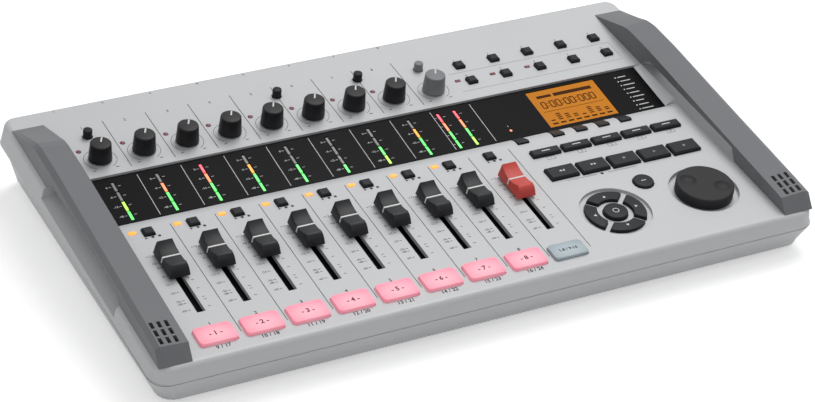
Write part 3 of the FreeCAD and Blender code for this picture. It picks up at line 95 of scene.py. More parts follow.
# Keys and switches
CURSOR_MIDDLE = (83.8, 22.0)
CURSOR_TOP = 0.2
CURSOR_OUTER = 16.4
CURSOR_INNER = 9.9
ARROW_RADIUS = 12.2
ENTER_RADIUS = 6.5
ENTER_TOP = 0.5
EXIT_MIDDLE = (110.6, 38.8)
EXIT_RADIUS = 5.6
EXIT_TOP = 1.4
KEY_TOP = 2.0
KEY_FLANGE = 0.8
FLANGE_THICKNESS = 1.2
SWITCH_RADIUS = 2.45
SWITCH_TOP = 4.6
SWITCHES = {
    "hi_z_switch": (-149.5, 170.5), "phantom_switch_left": (-40.6, 172.5),
    "phantom_switch_right": (7.8, 172.5), "phones_level_switch": (44.1, 170.5),
}
TRANSPORT_FIRST = (73.0, 60.0)
TRANSPORT_STEP = (18.65, -0.45)
WIDE_KEY_FIRST, WIDE_KEY_PITCH, WIDE_KEY_ROW = 73.5, 18.8, 78.7
FUNCTION_KEY_FIRST, FUNCTION_KEY_PITCH = 67.6, 21.65

# Lamps, level meters and counter; shifts are from the middle of a column
TRACK_LAMP_SHIFT, TRACK_LAMP_ROW = -8.7, 87.2
CLIP_LAMP_SHIFT, CLIP_LAMP_ROW = -9.2, 159.5
CLIP_LAMP_RADIUS = 1.25
KEY_LAMP_FIRST, KEY_LAMP_PITCH, KEY_LAMP_ROW = 60.1, 21.9, 153.6
METER_SHIFT = -1.8
MASTER_METERS = [36.0, 46.0]
METER_STEP = 7.5
METER_FIRST = 99.6 - STRIP_FRONT + 2.4 + METER_STEP / 2
STRIP_LAMP = (68.6, 6.9)
LIST_DOTS, LIST_BARS = 147.6, 151.6
LIST_FIRST, LIST_STEP = 30.0, 3.5
LCD_MIDDLE = 112.9
LCD_FRONT = 102.6 - STRIP_FRONT
LCD_LEVEL = -0.4

# Rear sockets and feet, in the frame of the whole part
SOCKET_FACE = 105.9
SOCKET_HEIGHT = 22.3
FIRST_INPUT = -158.3
INPUT_PITCH = 27.2
CONTACT_CIRCLE = 6.6
LATCH_RISE = 9.4
FEET = [(side_x * 165.0, side_y * 88.0) for side_x in (-1, 1) for side_y in (-1, 1)]
FOOT_RADIUS = 7.0
FOOT_HEIGHT = 4.0

# A print stands this far out of a surface, and reaches this far into it
INK = 0.04
SUNK = 0.03

SHARP_ANGLE = math.radians(38)

# Light, floor and camera, in metres, watts and degrees
KEY_LIGHT = ((0.66, 0.56, 1.65), 1.1, 18.0)
FILL_LIGHT = ((-0.9, -1.2, 1.3), 1.5, 3.0)
SKY_STRENGTH = 0.38
FLOOR_SIZE = 12.0
FLOOR_LIFT = 0.45
CAMERA_PLACE = (-0.556704, -0.980843, 0.743202)
CAMERA_ANGLES = (56.8934, -3.75, -27.1809)
CAMERA_LENS = 112.515
CAMERA_SENSOR = 36.0
WHITE = (1, 1, 1, 1)


def column_x(column):
    """The middle of a column of controls."""
    return FIRST_COLUMN + PITCH * column


def meter_columns():
    """The middles of the level meters: one for each input and two for the master."""
    return [column_x(column) + METER_SHIFT for column in range(FADERS)] + MASTER_METERS


def meter_row(row):
    """The middle of a meter's segment, counted from the front, in the frame of the strip."""
    return METER_FIRST + METER_STEP * row


def on_panel(x, y):
    """The frame of a control at its place on the panel."""
    return PANEL @ Matrix.Translation((x, y, 0))


# Materials

# A noise keeps mostly between these values
NOISE_SPAN = (0.3, 0.7)
NOISE_ROUGHNESS = 0.55

# Colour and glow
LAMPS = {
    "lamp_unlit": ((0.17, 0.17, 0.17), 0.0),
    "lamp_green": ((0.10, 0.80, 0.14), 0.9),
    "lamp_lime": ((0.42, 0.85, 0.08), 0.9),
    "lamp_amber": ((1.0, 0.34, 0.02), 0.9),
    "lamp_orange": ((1.0, 0.26, 0.10), 0.9),
    "lamp_red": ((0.95, 0.08, 0.12), 0.8),
    "lamp_dark_red": ((0.16, 0.01, 0.03), 0.1),
}

# Colour, roughness, grains per metre, their depth in metres, mottle and what else differs
SURFACES = {
    "silver": ((0.56, 0.57, 0.58), 0.46, 3200.0, 12e-6, 0.05, {"metal": 0.1, "gloss": 0.3}),
    "grip_grey": ((0.172, 0.177, 0.187), 0.50, 1500.0, 40e-6, 0.06, {"gloss": 0.25}),
    "pane": ((0.006, 0.006, 0.007), 0.3, 700.0, 4e-6, 0.25, {"gloss": 0.03}),
    "amber_glass": ((0.54, 0.19, 0.014), 0.3, 1600.0, 5e-6, 0.07, {"gloss": 0.04, "glow": 0.2}),
    "board": ((0.006, 0.008, 0.007), 0.55, 900.0, 30e-6, 0.3, {}),
    "plate": ((0.045, 0.046, 0.05), 0.5, 1800.0, 30e-6, 0.1, {}),
    "socket": ((0.018, 0.018, 0.02), 0.42, 1500.0, 20e-6, 0.12, {}),
    "metal": ((0.62, 0.62, 0.60), 0.28, 1200.0, 10e-6, 0.06, {"metal": 1.0}),
    "rubber": ((0.02, 0.02, 0.02), 0.8, 1300.0, 60e-6, 0.15, {}),
    "cap_black": ((0.017, 0.018, 0.020), 0.40, 1500.0, 20e-6, 0.12, {"gloss": 0.2}),
    "cap_red": ((0.62, 0.075, 0.06), 0.40, 1500.0, 20e-6, 0.08, {"gloss": 0.25}),
    "knob_black": ((0.013, 0.013, 0.015), 0.38, 1500.0, 20e-6, 0.12, {"gloss": 0.2}),
    "knob_grey": ((0.20, 0.21, 0.22), 0.42, 1500.0, 20e-6, 0.08, {"gloss": 0.3}),
    "dial": ((0.027, 0.027, 0.029), 0.45, 1700.0, 30e-6, 0.12, {"gloss": 0.12}),
    "key": ((0.019, 0.020, 0.022), 0.36, 1500.0, 20e-6, 0.12, {"gloss": 0.12}),
    "black_ink": ((0.035, 0.035, 0.04), 0.5, 2500.0, 4e-6, 0.15, {"gloss": 0.2}),
    "grey_ink": ((0.26, 0.26, 0.27), 0.5, 2500.0, 4e-6, 0.1, {"gloss": 0.2}),
    "white_ink": ((0.72, 0.72, 0.72), 0.5, 2500.0, 4e-6, 0.06, {}),
    "brown_ink": ((0.06, 0.02, 0.003), 0.4, 2500.0, 4e-6, 0.12, {"gloss": 0.03}),
    "pad_ink": ((0.14, 0.025, 0.04), 0.5, 2500.0, 4e-6, 0.12, {"gloss": 0.2}),
}

# Pad colours with painted light: colour in the bright middle, colour at the edge and strength of
# the painted glow
PAINTED_GLOW_RUBBER = {
    "pad_pink": ((1.0, 0.47, 0.53), (0.90, 0.28, 0.38), 0.30),
    "pad_blue": ((0.50, 0.58, 0.62), (0.34, 0.42, 0.46), 0.05),
}


def new_material(name):
    """A material with its tree, its shader and a coordinate that is fixed to the object."""
    material = bpy.data.materials.new(name)
    material.use_nodes = True
    tree = material.node_tree
    shader = tree.nodes["Principled BSDF"]
    place = tree.nodes.new("ShaderNodeTexCoord").outputs["Object"]
    return material, tree, shader, place


def noise(tree, place, scale, detail):
    """A noise value between 0 and 1, with its scale in grains per metre."""
    node = tree.nodes.new("ShaderNodeTexNoise")
    node.inputs["Scale"].default_value = scale
    node.inputs["Detail"].default_value = detail
    node.inputs["Roughness"].default_value = NOISE_ROUGHNESS
    tree.links.new(place, node.inputs["Vector"])
    return node.outputs["Fac"]


def spread(tree, value, low, high):
    """Maps a noise value to a range of numbers."""
    node = tree.nodes.new("ShaderNodeMapRange")
    limits = (*NOISE_SPAN, low, high)
    for name, number in zip(("From Min", "From Max", "To Min", "To Max"), limits):
        node.inputs[name].default_value = number
    tree.links.new(value, node.inputs["Value"])
    return node.outputs["Result"]


def tinted(colour, factor):
    """A colour made lighter or darker."""
    return tuple(min(1.0, part * factor) for part in colour) + (1.0,)


def ramp(tree, value, low, high, span=NOISE_SPAN):
    """Maps a value to a range of colours."""
    node = tree.nodes.new("ShaderNodeValToRGB")
    for element, position, colour in zip(node.color_ramp.elements, span, (low, high)):
        element.position = position
        element.color = colour
    tree.links.new(value, node.inputs["Fac"])
    return node.outputs["Color"]


def add_grain(tree, shader, fine, strength, depth):
    """Lets a fine noise raise and lower the surface by a depth in metres."""
    bump = tree.nodes.new("ShaderNodeBump")
    bump.inputs["Strength"].default_value = strength
    bump.inputs["Distance"].default_value = depth
    tree.links.new(fine, bump.inputs["Height"])
    tree.links.new(bump.outputs["Normal"], shader.inputs["Normal"])


def moulded(name, colour, rough, grain, depth, mottle, metal=0.0, gloss=0.5, glow=0.0):
    """Moulded or painted surface: fine grain, a slow drift of tone and uneven gloss."""
    material, tree, shader, place = new_material(name)
    fine = noise(tree, place, grain, detail=2.0)
    slow = noise(tree, place, 14.0, detail=4.0)
    blend = tree.nodes.new("ShaderNodeMix")
    blend.inputs["Factor"].default_value = 0.45
    tree.links.new(fine, blend.inputs["A"])
    tree.links.new(slow, blend.inputs["B"])
    shade = ramp(tree, blend.outputs["Result"], tinted(colour, 1 - mottle),
                 tinted(colour, 1 + mottle))
    tree.links.new(shade, shader.inputs["Base Color"])
    tree.links.new(spread(tree, slow, rough - 0.05, rough + 0.05), shader.inputs["Roughness"])
    add_grain(tree, shader, fine, 0.35, depth)
    shader.inputs["Metallic"].default_value = metal
    shader.inputs["Specular IOR Level"].default_value = gloss
    if glow:
        tree.links.new(shade, shader.inputs["Emission Color"])
        shader.inputs["Emission Strength"].default_value = glow
    return material


def painted_glow_rubber(name, middle, edge, glow):
    """Silicone with painted light: a painted glow, and colour brightest in the middle of the pad.
    """
    material, tree, shader, place = new_material(name)
    generated = tree.nodes.new("ShaderNodeTexCoord").outputs["Generated"]
    centred = tree.nodes.new("ShaderNodeVectorMath")
    centred.operation = "SUBTRACT"
    centred.inputs[1].default_value = (0.5, 0.5, 0.5)
    tree.links.new(generated, centred.inputs[0])
    away = tree.nodes.new("ShaderNodeVectorMath")
    away.operation = "LENGTH"
    tree.links.new(centred.outputs["Vector"], away.inputs[0])
    # Painted light: the colour brightens towards the middle of the pad and also glows
    shade = ramp(tree, away.outputs["Value"], middle + (1.0,), edge + (1.0,), (0.35, 0.72))
    tree.links.new(shade, shader.inputs["Base Color"])
    tree.links.new(shade, shader.inputs["Emission Color"])
    shader.inputs["Emission Strength"].default_value = glow
    fine = noise(tree, place, 1800.0, detail=2.0)
    tree.links.new(spread(tree, fine, 0.42, 0.56), shader.inputs["Roughness"])
    add_grain(tree, shader, fine, 0.2, 20e-6)
    return material


def make_materials():
    """Every finish, by a plain name."""
    finishes = {name: moulded(name, colour, 0.3, 900.0, 10e-6, 0.08, glow=glow)
                for name, (colour, glow) in LAMPS.items()}
    for name, (*values, others) in SURFACES.items():
        finishes[name] = moulded(name, *values, **others)
    for name, values in PAINTED_GLOW_RUBBER.items():
        finishes[name] = painted_glow_rubber(name, *values)
    return finishes


FINISH = make_materials()


# Thin printed marks and other small pieces

def band(mesh, near, far):
    """Joins two rings of corners by a closed band of faces."""
    for index in range(len(near)):
        after = (index + 1) % len(near)
        mesh.faces.new((near[index], near[after], far[after], far[index]))


class Print:
    """Marks of one ink, drawn in millimetres in a frame, and gathered into one mesh."""

    def __init__(self, name, place, level=0.0, thickness=INK):
        self.name = name
        self.place = place
        self.low = level - SUNK
        self.high = level + thickness
        self.mesh = bmesh.new()

    def plate(self, corners):
        """A thin solid over a flat outline, given counter-clockwise."""
        low = [self.mesh.verts.new((x, y, self.low)) for x, y in corners]
        high = [self.mesh.verts.new((x, y, self.high)) for x, y in corners]
        self.mesh.faces.new(low[::-1])
        self.mesh.faces.new(high)
        band(self.mesh, low, high)

    def line(self, x0, y0, x1, y1, width):
        """A straight line with square ends."""
        along = Vector((x1 - x0, y1 - y0)).normalized()
        side = Vector((along.y, -along.x)) * width / 2
        self.plate([(x0 + side.x, y0 + side.y), (x1 + side.x, y1 + side.y),
                    (x1 - side.x, y1 - side.y), (x0 - side.x, y0 - side.y)])

    def bar(self, x, y, width, depth):
        """A filled rectangle about its middle."""
        self.line(x - width / 2, y, x + width / 2, y, depth)

    def frame(self, x, y, width, depth, line):
        """The outline of a rectangle."""
        for side in (-1, 1):
            self.bar(x, y + side * depth / 2, width + line, line)
            self.bar(x + side * width / 2, y, line, depth - line)

    def disc(self, x, y, radius, steps=20):
        """A filled circle."""
        turns = [2 * math.pi * step / steps for step in range(steps)]
        self.plate([(x + radius * math.cos(a), y + radius * math.sin(a)) for a in turns])

    def triangle(self, x, y, size, turn=0.0):
        """A play triangle that points to +x before it is turned."""
        turns = [turn + math.radians(angle) for angle in (0, 120, 240)]
        self.plate([(x + size * math.cos(a), y + size * math.sin(a)) for a in turns])

    def arc(self, x, y, radius, width, start, stop, steps=32):
        """A stretch of a ring, with its angles in degrees from +x."""
        angles = [math.radians(start + (stop - start) * step / steps) for step in range(steps + 1)]
        inner, outer = radius - width / 2, radius + width / 2
        for first, last in zip(angles, angles[1:]):
            corners = ((inner, first), (outer, first), (outer, last), (inner, last))
            self.plate([(x + reach * math.cos(a), y + reach * math.sin(a)) for reach, a in corners])

    def number(self, words, x, y, size, align="CENTER", bold=0.0):
        """Plain figures and signs, thickened by a length on each side."""
        curve = bpy.data.curves.new("figures", "FONT")
        curve.body = words
        curve.size = size
        curve.align_x = align
        curve.align_y = "CENTER"
        curve.resolution_u = 2
        curve.offset = bold
        curve.extrude = (self.high - self.low) / 2
        carrier = bpy.data.objects.new("figures", curve)
        flat = bpy.data.meshes.new_from_object(carrier)
        flat.transform(Matrix.Translation((x, y, (self.low + self.high) / 2)))
        self.mesh.from_mesh(flat)
        bpy.data.objects.remove(carrier)
        bpy.data.curves.remove(curve)
        bpy.data.meshes.remove(flat)

    def done(self, body, finish):
        """Makes the object, in its place and on its body."""
        return finished(self.name, self.mesh, self.place, body, finish)


def finished(name, mesh, place, body, finish, smooth=False):
    """Turns a mesh in millimetres into a piece that rides on a body."""
    data = bpy.data.meshes.new(name)
    mesh.to_mesh(data)
    mesh.free()
    data.transform(place)
    if smooth:
        data.shade_smooth()
        data.set_sharp_from_angle(angle=SHARP_ANGLE)
    data.materials.append(FINISH[finish])
    piece = bpy.data.objects.new(name, data)
    bpy.context.scene.collection.objects.link(piece)
    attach(piece, body)
    return piece


def dress_nodes():
    """Gives every CAD node its finish, also those that a smoother piece stands for."""
    finish = {
        "top_case": "silver", "bottom_case": "silver", "battery_door": "silver",
        "card_door": "silver", "left_grip": "grip_grey", "right_grip": "grip_grey",
        "display_window": "pane", "lcd_module": "amber_glass", "indicator_leds": "lamp_unlit",
        "control_board": "board", "rear_panel": "plate", "input_sockets": "socket",
        "line_sockets": "metal", "feet": "rubber", "case_screws": "metal",
        "master_fader": "cap_red", "balance_knob": "knob_grey",
        "phones_level_switch": "knob_grey", "data_dial": "dial", "pad_bank_key": "pad_blue",
    }
    for name, node in NODES.items():
        if name.startswith("fader_"):
            wanted = "cap_black"
        elif name.startswith("gain_knob_"):
            wanted = "knob_black"
        elif name.startswith("pad_") and name != "pad_bank_key":
            wanted = "pad_pink"
        else:
            wanted = finish.get(name, "key")
        node.data.materials.clear()
        node.data.materials.append(FINISH[wanted])


# Prints on the panel

SCALE = ((67.5, "+12"), (61.4, "+6"), (57.6, "0"), (50.7, "-6"), (44.1, "-12"),
         (37.4, "-24"), (30.6, "-36"), (28.5, "-48"), (23.2, "-60"))
SCALE_WORDS = -6.4
SCALE_TICKS = (-5.2, 5.4)
FADER_FIELD = (0.5, 88.5)
KNOB_FIELD = (139.2, 181.0)
SEPARATOR = 0.35
PAD_NUMBERS, FADER_NUMBERS, KNOB_NUMBERS, INPUT_NUMBERS = -6.4, 10.8, 178.4, 196.6
TRACK_SIGNS = 81.4
KNOB_ARC = 8.6
KNOB_END_MARK = 6.2
WIDE_KEY_NUMBERS = (74.6, 93.4, 112.1, 130.9, 149.4)
WIDE_KEY_NUMBER_ROW = 74.0
FUNCTION_KEY_ROWS = (172.2, 157.0)
FINE_LINE = 0.2
GREY_LINE = 0.22


def print_fader_scales(ink):
    """Numbers and ticks beside each fader slot."""
    for column in range(COLUMNS):
        x = column_x(column)
        for y, words in SCALE:
            ink.number(words, x + SCALE_WORDS, y, size=2.1, align="RIGHT")
            for shift in SCALE_TICKS:
                ink.bar(x + shift, y, width=1.5, depth=0.3)


def print_columns(ink):
    """Separators, column numbers, pad numbers and the small signs below the track keys."""
    for column in range(1, COLUMNS + 1):
        x = column_x(column) - PITCH / 2
        ink.line(x, FADER_FIELD[0], x, FADER_FIELD[1], SEPARATOR)
        if column < COLUMNS:
            ink.line(x, KNOB_FIELD[0], x, KNOB_FIELD[1], SEPARATOR)
    for column in range(FADERS):
        x = column_x(column)
        ink.number(str(column + 1), x, FADER_NUMBERS, size=3.0, bold=0.05)
        ink.number(f"{column + 9} / {column + 17}", x, PAD_NUMBERS, size=3.3, bold=0.08)
        ink.number(str(column + 1), x - 0.4, KNOB_NUMBERS, size=2.9)
        ink.number(str(column + 1), FIRST_INPUT + INPUT_PITCH * column, INPUT_NUMBERS, size=2.4)
    for column in range(COLUMNS):
        x = column_x(column)
        ink.triangle(x - 3.6, TRACK_SIGNS, size=0.9)
        ink.bar(x, TRACK_SIGNS, width=1.4, depth=1.4)
        ink.disc(x + 3.6, TRACK_SIGNS, radius=0.8)


def print_knob_scales(ink):
    """An arc with end marks round each knob."""
    for column in range(COLUMNS):
        x = column_x(column) + KNOB_SHIFT
        ink.arc(x, KNOB_ROW, KNOB_ARC, width=0.22, start=-60, stop=240)
        for side in (-1, 1):
            ink.bar(x + side * KNOB_END_MARK, KNOB_ROW - KNOB_ARC, width=1.7, depth=0.5)


def print_key_area(ink, grey):
    """Numbers, thin frames and lines round the keys on the right."""
    for number, x in enumerate(WIDE_KEY_NUMBERS):
        ink.frame(x, WIDE_KEY_NUMBER_ROW, width=4.6, depth=2.4, line=0.18)
        ink.number(str(number + 1), x, WIDE_KEY_NUMBER_ROW, size=1.9)
    ink.line(72.6, 53.4, 90.4, 53.0, FINE_LINE)
    ink.line(97.0, 52.8, 114.2, 52.4, FINE_LINE)
    ink.disc(93.6, 52.9, radius=0.9)
    for number in range(5):
        x = FUNCTION_KEY_FIRST + FUNCTION_KEY_PITCH * number - 0.5
        for row, y in enumerate(FUNCTION_KEY_ROWS):
            ink.number(str(number + 1 + 5 * row), x, y, size=2.0)
    left, right, front, rear = 58.0, 160.5, 143.6, 160.6
    grey.line(left, rear, right, rear, GREY_LINE)
    grey.line(right, front + 1.4, right, rear, GREY_LINE)
    grey.line(left, front, right, front, GREY_LINE)


def print_panel():
    """All dark and grey marks of the panel."""
    ink = Print("panel_print", PANEL)
    grey = Print("panel_lines", PANEL)
    print_fader_scales(ink)
    print_columns(ink)
    print_knob_scales(ink)
    print_key_area(ink, grey)
    ink.done("case", "black_ink")
    grey.done("case", "grey_ink")


def print_strip():
    """White marks on the dark pane: separators, scales and a list of dots and bars."""
    ink = Print("strip_print", STRIP)
    for column in range(1, COLUMNS + 1):
        x = column_x(column) - PITCH / 2 + 0.5
        ink.line(x, 1.6, x, 33.6, width=0.3)
    for index, x in enumerate(meter_columns()):
        for row, words in enumerate(("-48", "-12", "-6", "0")):
            y = meter_row(row)
            ink.bar(x + 2.6, y, width=1.5, depth=0.22)
            if index <= FADERS:
                ink.bar(x - 2.6, y, width=1.5, depth=0.22)
            if index < FADERS:
                ink.number(words, x - 3.8, y, size=1.9, align="RIGHT")
    for row in range(9):
        y = LIST_FIRST - LIST_STEP * row
        ink.disc(LIST_DOTS, y, radius=0.45, steps=12)
        ink.bar(LIST_BARS + (row % 3) * 0.5, y, width=5.2 + (row % 3), depth=0.55)
    ink.number("1", STRIP_LAMP[0], STRIP_LAMP[1] + 3.5, size=2.0)
    ink.done("case", "white_ink")


def lcd_zero(ink, x, y, height):
    """A zero made of straight bars."""
    width, line = height * 0.5, height * 0.14
    half = height / 2
    for side in (-1, 1):
        ink.bar(x, y + side * half, width, line)
        ink.bar(x + side * width / 2, y, line, height - line)


def print_lcd():
    """A generic counter and bars, dark on the lit glass."""
    ink = Print("lcd_marks", STRIP, level=LCD_LEVEL)
    ink.bar(LCD_MIDDLE + 5.5, LCD_FRONT + 25.3, width=24.0, depth=2.6)
    ink.bar(LCD_MIDDLE - 12.5, LCD_FRONT + 25.3, width=9.0, depth=2.0)
    x, y = LCD_MIDDLE - 16.5, LCD_FRONT + 18.4
    for shape in "0:00:00:000":
        if shape == ":":
            for rise in (-1.2, 1.2):
                ink.bar(x - 0.6, y + rise, width=0.7, depth=0.7)
            x += 1.6
        else:
            lcd_zero(ink, x + 0.6, y, height=5.0)
            x += 3.7
    ink.bar(LCD_MIDDLE, LCD_FRONT + 13.0, width=38.0, depth=0.3)
    for track in range(8):
        x = LCD_MIDDLE - 17.0 + track * 4.9
        for row in range(1 + (track * 3) % 4):
            ink.bar(x, LCD_FRONT + 5.6 + row * 1.5, width=2.6, depth=0.8)
        ink.bar(x, LCD_FRONT + 2.8, width=3.4, depth=1.2)
    ink.done("case", "brown_ink")


# Round and soft forms that stand for coarser solids

def lathe(mesh, profile, steps=48, x=0.0, y=0.0):
    """Turns a profile of radius and height round an upright axis, closed at both ends."""
    rings = []
    for radius, z in profile:
        rings.append([
            mesh.verts.new((x + radius * math.cos(2 * math.pi * step / steps),
                            y + radius * math.sin(2 * math.pi * step / steps), z))
            for step in range(steps)
        ])
    mesh.faces.new(rings[0][::-1])
    mesh.faces.new(rings[-1])
    for near, far in zip(rings, rings[1:]):
        band(mesh, near, far)


def rounded(radius, top, edge, lean=0.0):
    """The rounded upper edge of a profile, set in by the lean of its flank."""
    turns = [math.radians(angle) for angle in (0, 22, 45, 68, 90)]
    rim = radius - lean
    return [(rim - edge + edge * math.cos(turn), top - edge + edge * math.sin(turn))
            for turn in turns]


def stand_for(mesh, name, place, body, finish, node=None):
    """Finishes a smooth piece and lets it stand for a node."""
    piece = finished(name, mesh, place, body, finish, smooth=True)
    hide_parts(node or body)
    return piece


def make_knobs():
    """Knobs with a straight, slightly drafted flank, on their shafts."""
    for column, name in enumerate(KNOB_NAMES):
        mesh = bmesh.new()
        shaft = [(SHAFT_RADIUS, -4.0), (SHAFT_RADIUS, 1.0), (KNOB_RADIUS - 0.5, 1.0),
                 (KNOB_RADIUS - 0.5, 0.75), (KNOB_RADIUS, 0.75), (KNOB_RADIUS, 1.3)]
        lathe(mesh, shaft + rounded(KNOB_RADIUS, KNOB_TOP, edge=0.7, lean=0.65), steps=64)
        place = on_panel(column_x(column) + KNOB_SHIFT, KNOB_ROW)
        finish = "knob_grey" if column == FADERS else "knob_black"
        stand_for(mesh, f"{name}_grip", place, name, finish)


def make_dial():
    """The data wheel, with two soft dimples in its top."""
    mesh = bmesh.new()
    foot = [(SHAFT_RADIUS, -7.0), (SHAFT_RADIUS, -1.6), (DIAL_RADIUS, -1.6)]
    rim = rounded(DIAL_RADIUS, DIAL_TOP, edge=1.1)
    inner = [(rim[-1][0] * (1 - step / 24), DIAL_TOP) for step in range(1, 24)]
    lathe(mesh, foot + rim + inner, steps=96)
    for vertex in mesh.verts:
        if vertex.co.z > DIAL_TOP - 0.01:
            for side in (-1, 1):
                away = math.hypot(vertex.co.x - side * DIMPLE_OFFSET, vertex.co.y)
                if away < DIMPLE_RADIUS:
                    fall = 1 - (away / DIMPLE_RADIUS) ** 2
                    vertex.co.z -= DIMPLE_DEPTH * fall ** 0.8
    place = on_panel(*DIAL_MIDDLE) @ Matrix.Rotation(DIAL_TURN, 4, "Z")
    stand_for(mesh, "dial_wheel", place, "data_dial", "dial")


def make_round_keys():
    """The enter and exit keys and the switches along the rear edge."""
    keys = [("enter_key", CURSOR_MIDDLE, ENTER_RADIUS, ENTER_TOP, -5.6, 0.7),
            ("exit_key", EXIT_MIDDLE, EXIT_RADIUS, EXIT_TOP, -3.2, 0.7)]
    keys += [(name, middle, SWITCH_RADIUS, SWITCH_TOP, -3.2, 0.45)
             for name, middle in SWITCHES.items()]
    for name, middle, radius, top, low, edge in keys:
        mesh = bmesh.new()
        flange = [(radius + KEY_FLANGE, low - FLANGE_THICKNESS), (radius + KEY_FLANGE, low),
                  (radius, low)]
        lathe(mesh, flange + rounded(radius, top, edge))
        finish = "knob_grey" if name == "phones_level_switch" else "key"
        stand_for(mesh, f"{name}_cap", on_panel(*middle), name, finish)


def block(mesh, corners, low, top, edge):
    """An upright block over an outline, with a rounded upper edge."""
    base = [mesh.verts.new((x, y, low)) for x, y in corners]
    lid = [mesh.verts.new((x, y, top)) for x, y in corners]
    mesh.faces.new(base[::-1])
    upper = mesh.faces.new(lid)
    band(mesh, base, lid)
    bmesh.ops.bevel(mesh, geom=list(upper.edges), offset=edge, segments=4, affect="EDGES",
                    profile=0.5)


def make_cursor_keys():
    """Four arrow keys, each a quarter of a ring between straight spokes."""
    mesh = bmesh.new()
    steps, half_spoke = 16, 1.5
    for quarter in range(4):
        corners = []
        for radius, way in ((CURSOR_OUTER, 1), (CURSOR_INNER, -1)):
            end = math.radians(45) - math.asin(half_spoke / radius)
            for step in range(steps + 1):
                turn = quarter * math.pi / 2 + way * end * (1 - 2 * step / steps)
                corners.append((-radius * math.sin(turn), radius * math.cos(turn)))
        if corners_turn(corners) < 0:
            corners.reverse()
        block(mesh, corners, low=-4.8, top=CURSOR_TOP, edge=0.45)
    stand_for(mesh, "arrow_ring", on_panel(*CURSOR_MIDDLE), "cursor_keys", "key")


def corners_turn(corners):
    """Twice the area inside an outline, positive when it runs counter-clockwise."""
    return sum(a[0] * b[1] - b[0] * a[1] for a, b in zip(corners, corners[1:] + corners[:1]))


def soft_corners(width, depth, radius, steps=6):
    """A rectangle with round corners, about the origin."""
    corners = []
    for quarter, (side_x, side_y) in enumerate(((1, -1), (1, 1), (-1, 1), (-1, -1))):
        x, y = side_x * (width / 2 - radius), side_y * (depth / 2 - radius)
        for step in range(steps + 1):
            turn = math.radians(90 * (quarter - 1 + step / steps))
            corners.append((x + radius * math.cos(turn), y + radius * math.sin(turn)))
    return corners


def make_pads():
    """The drum pads and the grey-blue pad key, with soft corners and edges."""
    pads = [(f"pad_{column + 1}", (column_x(column) + PAD_SHIFT, PAD_ROW), PAD_SIZE, "pad_pink")
            for column in range(FADERS)]
    pads.append(("pad_bank_key", BANK_MIDDLE, BANK_SIZE, "pad_blue"))
    for name, middle, size, finish in pads:
        mesh = bmesh.new()
        block(mesh, soft_corners(*size, radius=1.3), low=-3.2, top=PAD_TOP, edge=0.7)
        stand_for(mesh, f"{name}_top", on_panel(*middle), name, finish)


def arc_through(first, middle, last, steps):
    """Points along the circle through three points, without its first."""
    (ax, ay), (bx, by), (cx, cy) = first, middle, last
    d = 2 * (ax * (by - cy) + bx * (cy - ay) + cx * (ay - by))
    squares = [x * x + y * y for x, y in (first, middle, last)]
    x = (squares[0] * (by - cy) + squares[1] * (cy - ay) + squares[2] * (ay - by)) / d
    y = (squares[0] * (cx - bx) + squares[1] * (ax - cx) + squares[2] * (bx - ax)) / d
    start, stop = math.atan2(ay - y, ax - x), math.atan2(cy - y, cx - x)
    radius = math.hypot(ax - x, ay - y)
    return [(x + radius * math.cos(start + (stop - start) * step / steps),
             y + radius * math.sin(start + (stop - start) * step / steps))
            for step in range(1, steps + 1)]


def make_fader_caps():
    """Saddle-shaped caps with drafted flanks, each on its flat lever."""
    outline = [(-11.7, 1.2), (10.3, 1.2), (9.5, 7.9), CAP_SADDLE[0]]
    outline += arc_through(*CAP_SADDLE, 20) + list(CAP_NOSE)
    for column, name in enumerate(FADER_NAMES):
        mesh = bmesh.new()
        sides = [[mesh.verts.new((side * (CAP_HALF_WIDTH - (z - CAP_FOOT) * CAP_DRAFT), y, z))
                  for y, z in outline] for side in (-1, 1)]
        left, right = mesh.faces.new(sides[0]), mesh.faces.new(sides[1][::-1])
        for index in range(len(outline)):
            after = (index + 1) % len(outline)
            mesh.faces.new((sides[0][index], sides[1][index], sides[1][after], sides[0][after]))
        bmesh.ops.recalc_face_normals(mesh, faces=mesh.faces)
        bmesh.ops.bevel(mesh, geom=[*left.edges, *right.edges], offset=0.45, segments=2,
                        affect="EDGES", profile=0.6)
        lever = soft_corners(width=1.2, depth=5.0, radius=0.3, steps=2)
        block(mesh, lever, low=-6.6, top=1.7, edge=0.1)
        finish = "cap_red" if column == FADERS else "cap_black"
        stand_for(mesh, f"{name}_cap", on_panel(column_x(column), FADER_REST), name, finish)


def make_feet():
    """Round rubber feet with a softened edge and a shallow ring in the tread."""
    mesh = bmesh.new()
    for x, y in FEET:
        lathe(mesh, [(2.6, 0.5), (3.0, 0.0), (FOOT_RADIUS - 0.7, 0.0), (FOOT_RADIUS - 0.2, 0.2),
                     (FOOT_RADIUS, 0.7), (FOOT_RADIUS, FOOT_HEIGHT)], x=x, y=y)
    stand_for(mesh, "rubber_feet", TO_METRES, "case", "rubber", "feet")


# Marks on moving pieces

